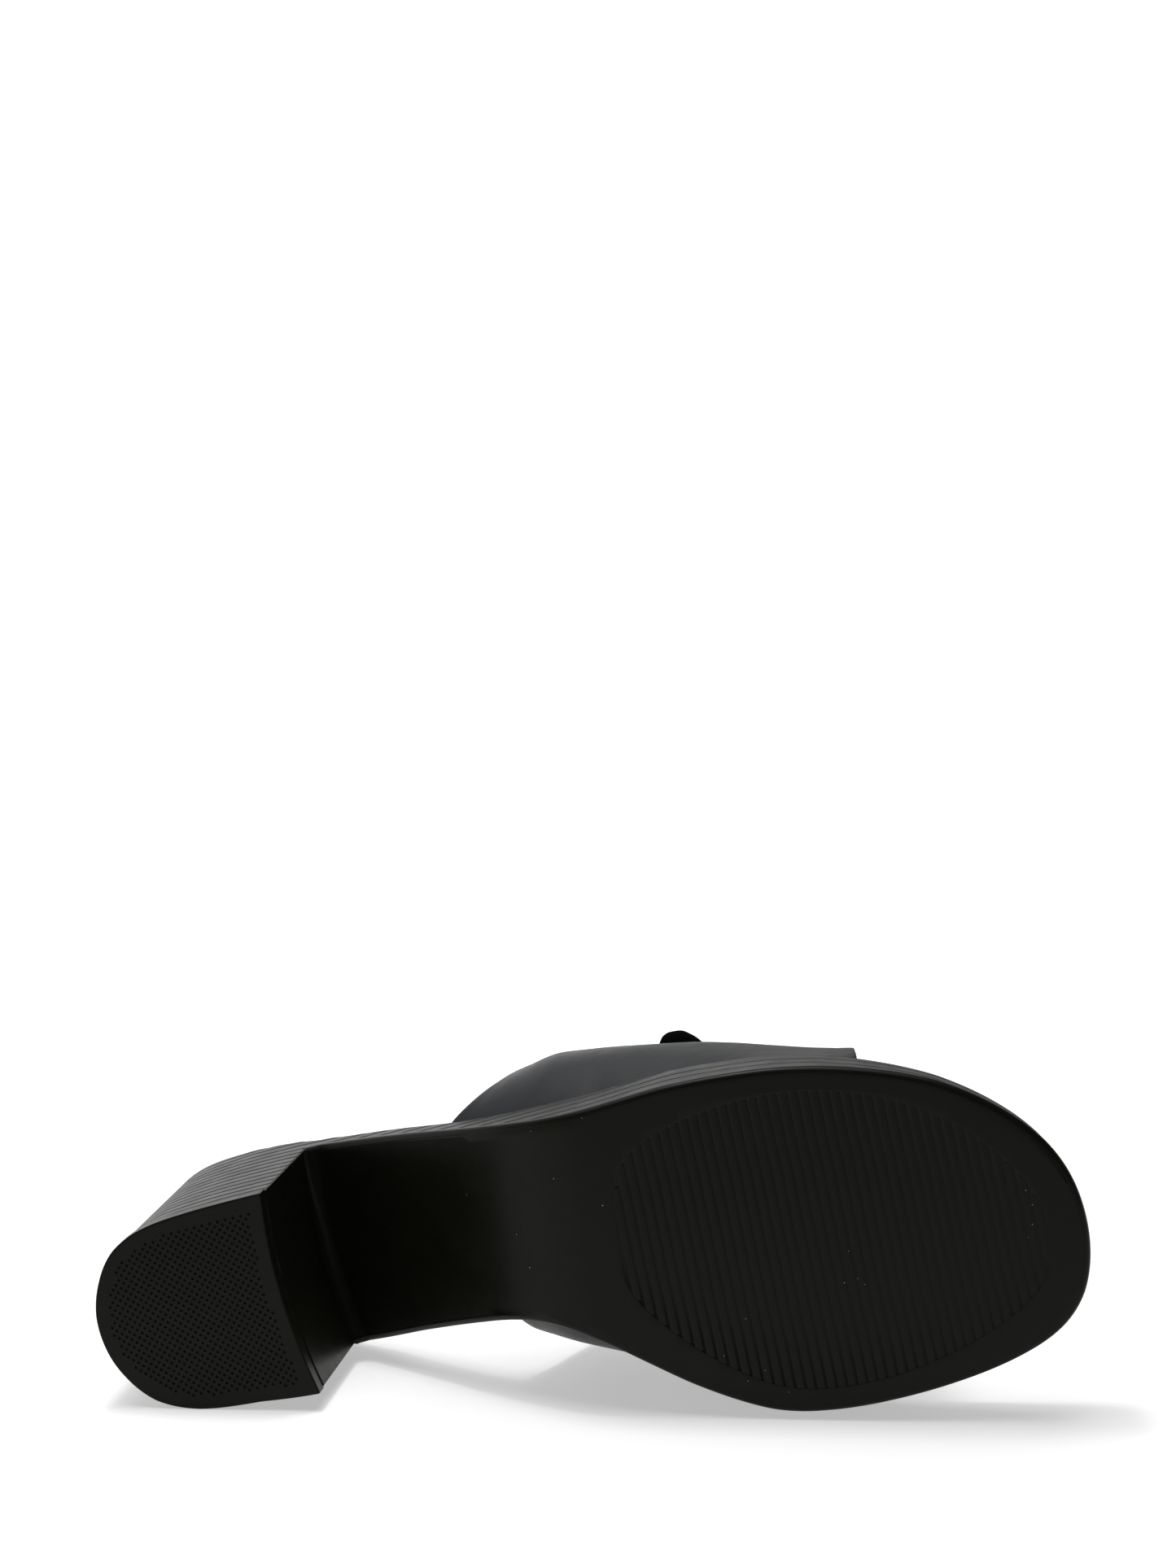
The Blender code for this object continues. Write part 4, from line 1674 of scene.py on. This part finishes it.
@dataclass(frozen=True)
class Finish:
    """A real material and how its surface was made. Pattern sizes are in millimetres."""

    name: str
    dark: str
    light: str
    roughness: tuple[float, float]
    specular: float
    ior: float = 1.5
    coordinates: str = "Object"
    bump: float = 0.5
    bump_mm: float = 0.05
    sheen: float = 0.0

    def patterns(self, tree: Tree, place: Socket) -> tuple[Socket, Socket, Socket]:
        """Makes the patterns of the surface. Each finish has its own.

        Args:
            tree: The node tree.
            place: The coordinates that the patterns follow.

        Returns:
            The share from dark to light, the share from glossy to rough, and the relief.
        """
        raise NotImplementedError

    def build(self) -> Material:
        """Builds the material around its patterns.

        Returns:
            The material.
        """
        material = bpy.data.materials.new(self.name)
        material.use_nodes = True
        tree = material.node_tree
        shader = tree.nodes["Principled BSDF"]
        shader.inputs["IOR"].default_value = self.ior
        shader.inputs["Specular IOR Level"].default_value = self.specular
        shader.inputs["Sheen Weight"].default_value = self.sheen
        place = add_node(tree, "ShaderNodeTexCoord").outputs[self.coordinates]
        shade, gloss, relief = self.patterns(tree, place)
        mix = {0: shade, 6: linear(self.dark), 7: linear(self.light)}
        colour = add_node(tree, "ShaderNodeMix", {"data_type": "RGBA"}, mix)
        tree.links.new(colour.outputs[2], shader.inputs["Base Color"])
        # Noise lies mostly between these two values, which are given the whole reach.
        reach = {"Value": gloss, 1: 0.3, 2: 0.7, 3: self.roughness[0], 4: self.roughness[1]}
        rough = add_node(tree, "ShaderNodeMapRange", None, reach)
        tree.links.new(rough.outputs[0], shader.inputs["Roughness"])
        height = {"Height": relief, "Strength": self.bump, "Distance": self.bump_mm * MM}
        bump = add_node(tree, "ShaderNodeBump", None, height)
        tree.links.new(bump.outputs[0], shader.inputs["Normal"])
        return material


@dataclass(frozen=True)
class MouldedRubber(Finish):
    """Black thermoplastic rubber, moulded: an even satin skin with fine grit and smudges."""

    bump: float = 0.35
    bump_mm: float = 0.03
    smudge: float = 11.0
    mark: float = 2.2
    grit: float = 0.42

    def patterns(self, tree: Tree, place: Socket) -> tuple[Socket, Socket, Socket]:
        """Smudges from handling change the shade and gloss, and the mould leaves a fine grit.

        Args:
            tree: The node tree.
            place: The coordinates that the patterns follow.

        Returns:
            The shares of shade and gloss, and the relief.
        """
        smudge, mark, grit = (
            add_node(
                tree,
                "ShaderNodeTexNoise",
                None,
                {"Vector": place, "Scale": per_mm(size), "Detail": detail},
            ).outputs[0]
            for size, detail in ((self.smudge, 4.0), (self.mark, 3.0), (self.grit, 2.0))
        )
        gloss = add_node(tree, "ShaderNodeMix", None, {0: 0.4, 2: smudge, 3: mark}).outputs[0]
        return smudge, gloss, grit


@dataclass(frozen=True)
class MouldedWall(Finish):
    """Black moulded sole unit: satin, with fine level streaks like stacked layers."""

    streak: float = 0.5
    run: float = 17.0
    smudge: float = 6.0

    def patterns(self, tree: Tree, place: Socket) -> tuple[Socket, Socket, Socket]:
        """Level streaks, with smudges in the gloss.

        Height above the ground is the frame's Y, so streaks are thin along Y and long across.

        Args:
            tree: The node tree.
            place: The coordinates that the patterns follow.

        Returns:
            The shares of shade and gloss, and the relief.
        """
        scale = (1.0 / self.run, 1.0 / self.streak, 1.0 / self.run)
        drawn = add_node(tree, "ShaderNodeMapping", None, {"Vector": place, "Scale": scale})
        streak, smudge = (
            add_node(
                tree,
                "ShaderNodeTexNoise",
                None,
                {"Vector": vector, "Scale": per_mm(size), "Detail": 3.0},
            ).outputs[0]
            for vector, size in ((drawn.outputs[0], 1.0), (place, self.smudge))
        )
        gloss = add_node(tree, "ShaderNodeMix", None, {0: 0.5, 2: streak, 3: smudge}).outputs[0]
        return streak, gloss, streak


@dataclass(frozen=True)
class Leather(Finish):
    """Dyed calf leather: fine pores and wrinkles, and a soft sheen from its dressing."""

    coordinates: str = "UV"
    bump: float = 0.6
    bump_mm: float = 0.055
    cloud: float = 18.0
    handling: float = 3.0
    wrinkle: float = 0.9
    grain: float = 0.55

    def patterns(self, tree: Tree, place: Socket) -> tuple[Socket, Socket, Socket]:
        """A broad cloudy shade of the dye, and pores as small cells with wrinkles between.

        Args:
            tree: The node tree.
            place: The coordinates that the patterns follow.

        Returns:
            The shares of shade and gloss, and the relief.
        """
        cloud, handling, wrinkle = (
            add_node(
                tree,
                "ShaderNodeTexNoise",
                None,
                {"Vector": place, "Scale": per_mm(size), "Detail": detail},
            ).outputs[0]
            for size, detail in ((self.cloud, 3.0), (self.handling, 4.0), (self.wrinkle, 4.0))
        )
        pores = add_node(
            tree,
            "ShaderNodeTexVoronoi",
            {"feature": "SMOOTH_F1"},
            {"Vector": place, "Scale": per_mm(self.grain), "Smoothness": 0.6},
        ).outputs[0]
        gloss, relief = (
            add_node(tree, "ShaderNodeMix", None, {0: 0.5, 2: first, 3: second}).outputs[0]
            for first, second in ((cloud, handling), (pores, wrinkle))
        )
        return cloud, gloss, relief


@dataclass(frozen=True)
class Nap(Finish):
    """Deep black napped cloth: it swallows light and glows faintly along its edges."""

    bump: float = 0.9
    bump_mm: float = 0.12
    sheen: float = 0.03
    pile: float = 0.3

    def patterns(self, tree: Tree, place: Socket) -> tuple[Socket, Socket, Socket]:
        """One fine pile for shade, gloss and relief.

        Args:
            tree: The node tree.
            place: The coordinates that the patterns follow.

        Returns:
            The shares of shade and gloss, and the relief.
        """
        values = {"Vector": place, "Scale": per_mm(self.pile), "Detail": 3.0}
        pile = add_node(tree, "ShaderNodeTexNoise", None, values).outputs[0]
        return pile, pile, pile


@dataclass(frozen=True)
class Studio:
    """A plain pale floor with a painted glow, a bright even backdrop light and soft lamps over the
    shoe.
    """

    floor_size: float = 9.0
    # Painted glow of the floor, weaker round the shoe and before it: from, to, least and most.
    glow_away: tuple[float, ...] = (0.1, 0.7, 0.45, 0.9)
    glow_back: tuple[float, ...] = (-0.5, -0.1, 0.2, 1.0)
    behind: float = 1.14
    before: float = 0.07
    bright_side: tuple[float, float, float] = (-0.71, 0.66, -0.24)
    bright_reach: tuple[float, float] = (0.3, 0.85)
    # Name, place and size in metres, and power in watts.
    lamps: tuple[tuple, ...] = (
        ("overhead_softbox", (-0.15, 0.05, 1.15), (1.2, 0.9), 7.6),
        ("edge_lamp", (-0.2, 0.05, 1.0), (0.2, 0.15), 2.5),
    )
    aim: tuple[float, float, float] = (0.0, 0.0, 0.04)
    # The camera in the shoe frame, with its place in millimetres.
    focal_pixels: float = 4335.0
    camera_at: tuple[float, float, float] = (245.027, -197.483, -812.010)
    camera_right: tuple[float, float, float] = (0.987005, 0.098443, 0.127001)
    camera_up: tuple[float, float, float] = (0.084595, -0.990306, 0.110174)

    def floor(self) -> Object:
        """The pale floor that the shoe lies on, with a painted glow that also lights the shoe.

        Returns:
            The floor, marked as stage.
        """
        bpy.ops.object.select_all(action="DESELECT")
        bpy.ops.mesh.primitive_circle_add(vertices=96, radius=self.floor_size, fill_type="NGON")
        floor = bpy.context.object
        floor.name = "studio_floor"
        material = bpy.data.materials.new("pale_glowing_floor")
        material.use_nodes = True
        tree = material.node_tree
        shader = tree.nodes["Principled BSDF"]
        shader.inputs["Base Color"].default_value = linear("#efefef")
        shader.inputs["Roughness"].default_value = 0.9
        shader.inputs["Specular IOR Level"].default_value = 0.0
        shader.inputs["Emission Color"].default_value = (1.0, 1.0, 1.0, 1.0)
        place = add_node(tree, "ShaderNodeTexCoord").outputs["Object"]
        back = add_node(tree, "ShaderNodeSeparateXYZ", None, {0: place}).outputs["Y"]
        length = {"operation": "LENGTH"}
        away = add_node(tree, "ShaderNodeVectorMath", length, {0: place}).outputs["Value"]
        first, second = (
            add_node(
                tree,
                "ShaderNodeMapRange",
                {"interpolation_type": "SMOOTHSTEP"},
                {"Value": value, **dict(enumerate(glow, 1))},
            ).outputs[0]
            for value, glow in ((away, self.glow_away), (back, self.glow_back))
        )
        glow = add_node(tree, "ShaderNodeMath", {"operation": "MULTIPLY"}, {0: first, 1: second})
        # The floor's painted glow, brighter away from the shoe and behind it, also lights the shoe.
        tree.links.new(glow.outputs[0], shader.inputs["Emission Strength"])
        floor.data.materials.append(material)
        return floor

    def world(self) -> None:
        """Bright behind the shoe, dim before it, and plain white where it is seen."""
        world = bpy.data.worlds.new("studio")
        bpy.context.scene.world = world
        world.use_nodes = True
        tree = world.node_tree
        tree.nodes.clear()
        direction = add_node(tree, "ShaderNodeTexCoord").outputs["Generated"]
        facing = add_node(
            tree,
            "ShaderNodeVectorMath",
            {"operation": "DOT_PRODUCT"},
            {0: direction, 1: self.bright_side},
        ).outputs["Value"]
        start, end = self.bright_reach
        level = add_node(
            tree,
            "ShaderNodeMapRange",
            {"interpolation_type": "SMOOTHSTEP"},
            {"Value": facing, 1: start, 2: end, 3: self.before, 4: self.behind},
        ).outputs[0]
        seen = add_node(tree, "ShaderNodeLightPath").outputs["Is Camera Ray"]
        strength = add_node(tree, "ShaderNodeMix", None, {0: seen, 2: level, 3: 1.0}).outputs[0]
        white = (1.0, 1.0, 1.0, 1.0)
        light = add_node(tree, "ShaderNodeBackground", None, {"Color": white, "Strength": strength})
        tree.links.new(light.outputs[0], add_node(tree, "ShaderNodeOutputWorld").inputs[0])

    def lamp(
        self, name: str, at: Sequence[float], size: tuple[float, float], power: float
    ) -> Object:
        """Adds a soft lamp that points at the shoe.

        Args:
            name: Name of the lamp.
            at: Its place, in metres.
            size: Width and height of its face.
            power: Its power in watts.

        Returns:
            The lamp.
        """
        data = bpy.data.lights.new(name, "AREA")
        data.shape, data.energy = "RECTANGLE", power
        data.size, data.size_y = size
        lamp = bpy.data.objects.new(name, data)
        bpy.context.collection.objects.link(lamp)
        lamp.location = at
        beam = Vector(self.aim) - Vector(at)
        lamp.rotation_euler = beam.to_track_quat("-Z", "Y").to_euler()
        return lamp

    def camera(self, lay: Matrix) -> Object:
        """Sets the camera at the photograph's angle to the shoe.

        Args:
            lay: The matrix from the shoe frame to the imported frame.

        Returns:
            The camera.
        """
        data = bpy.data.cameras.new("camera")
        data.sensor_width = SENSOR_MM
        data.lens = SENSOR_MM * self.focal_pixels / IMAGE_SIZE[1]
        data.clip_start, data.clip_end = 0.01, 50.0
        camera = bpy.data.objects.new("camera", data)
        bpy.context.collection.objects.link(camera)
        turn = lay.to_3x3()
        right, up = turn @ Vector(self.camera_right), turn @ Vector(self.camera_up)
        axes = Matrix((right, up, right.cross(up))).transposed()
        place = Matrix.Translation(lay @ (Vector(self.camera_at) * MM))
        camera.matrix_world = place @ axes.to_4x4()
        bpy.context.scene.camera = camera
        return camera

    def build(self, lay: Matrix) -> None:
        """Sets up floor, light and camera.

        Args:
            lay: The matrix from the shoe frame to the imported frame.
        """
        self.floor()
        self.world()
        for lamp in self.lamps:
            self.lamp(*lamp)
        self.camera(lay)
        bpy.context.scene.view_settings.view_transform = "Standard"


def lay_matrix(record: dict) -> Matrix:
    """Works out where the shoe's own axes lie, from the two ground faces of the record.

    Args:
        record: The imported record.

    Returns:
        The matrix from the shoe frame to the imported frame.
    """
    heel_at = Vector(HEEL_FACE_AT)
    mounts = {mount["name"]: mount for mount in record["mounts"]}
    heel = Vector(mounts["heel_ground_face"]["pos_m"])
    step = Vector(mounts["forepart_ground_face"]["pos_m"]) - heel
    up = -Vector(mounts["heel_ground_face"]["axis"]).normalized()
    known = Vector(FOREPART_FACE_AT) - heel_at
    forward = (step * known.x - up.cross(step) * known.y).normalized()
    turn = Matrix((forward, up.cross(forward), up)).transposed().to_4x4()
    return Matrix.Translation(heel - turn @ heel_at) @ turn


def main() -> None:
    """Builds and dresses the pieces, then sets up the studio."""
    logging.basicConfig(level=logging.INFO, format="%(name)s: %(message)s")
    lay = lay_matrix(frame["record"])
    bench = Bench(lay)
    form = SoleForm()
    rubber = MouldedRubber("moulded_black_rubber", "#0e0e0a", "#14140e", (0.28, 0.4), 0.1, 1.52)
    wall = MouldedWall("moulded_black_sole_unit", "#0b0b09", "#131310", (0.3, 0.46), 0.3)
    calf = Leather("dyed_calf_leather", "#0e1114", "#171b1f", (0.38, 0.5), 0.32)
    lining = Leather("black_lining_leather", "#131211", "#1d1b19", (0.55, 0.7), 0.4, grain=0.8)
    sock = Leather(
        "black_sock_leather",
        "#131211",
        "#1c1b1a",
        (0.5, 0.65),
        0.4,
        grain=0.7,
        coordinates="Object",
    )
    bottom = Bottom(bench, form)
    rubber_skin = rubber.build()
    unit_skin = wall.build()
    bottom.heel_block(unit_skin, rubber_skin)
    bottom.platform(unit_skin)
    bottom.top_piece(rubber_skin)
    bottom.outsole(rubber_skin)
    bottom.ribs(rubber_skin)
    bottom.insole(sock.build())
    shape = VampForm(form)
    vamp = Vamp(bench, shape)
    vamp.outer(calf.build())
    vamp.inner(lining.build())
    cloth = Nap("black_napped_cloth", "#020202", "#060606", (0.9, 1.0), 0.02)
    FoldedTab(bench, shape).build(cloth.build())
    dust(bench, form, Nap("pale_dust", "#a8a59c", "#d0cdc4", (0.8, 0.95), 0.2).build())
    Studio().build(lay)


if __name__ == "__main__":
    main()
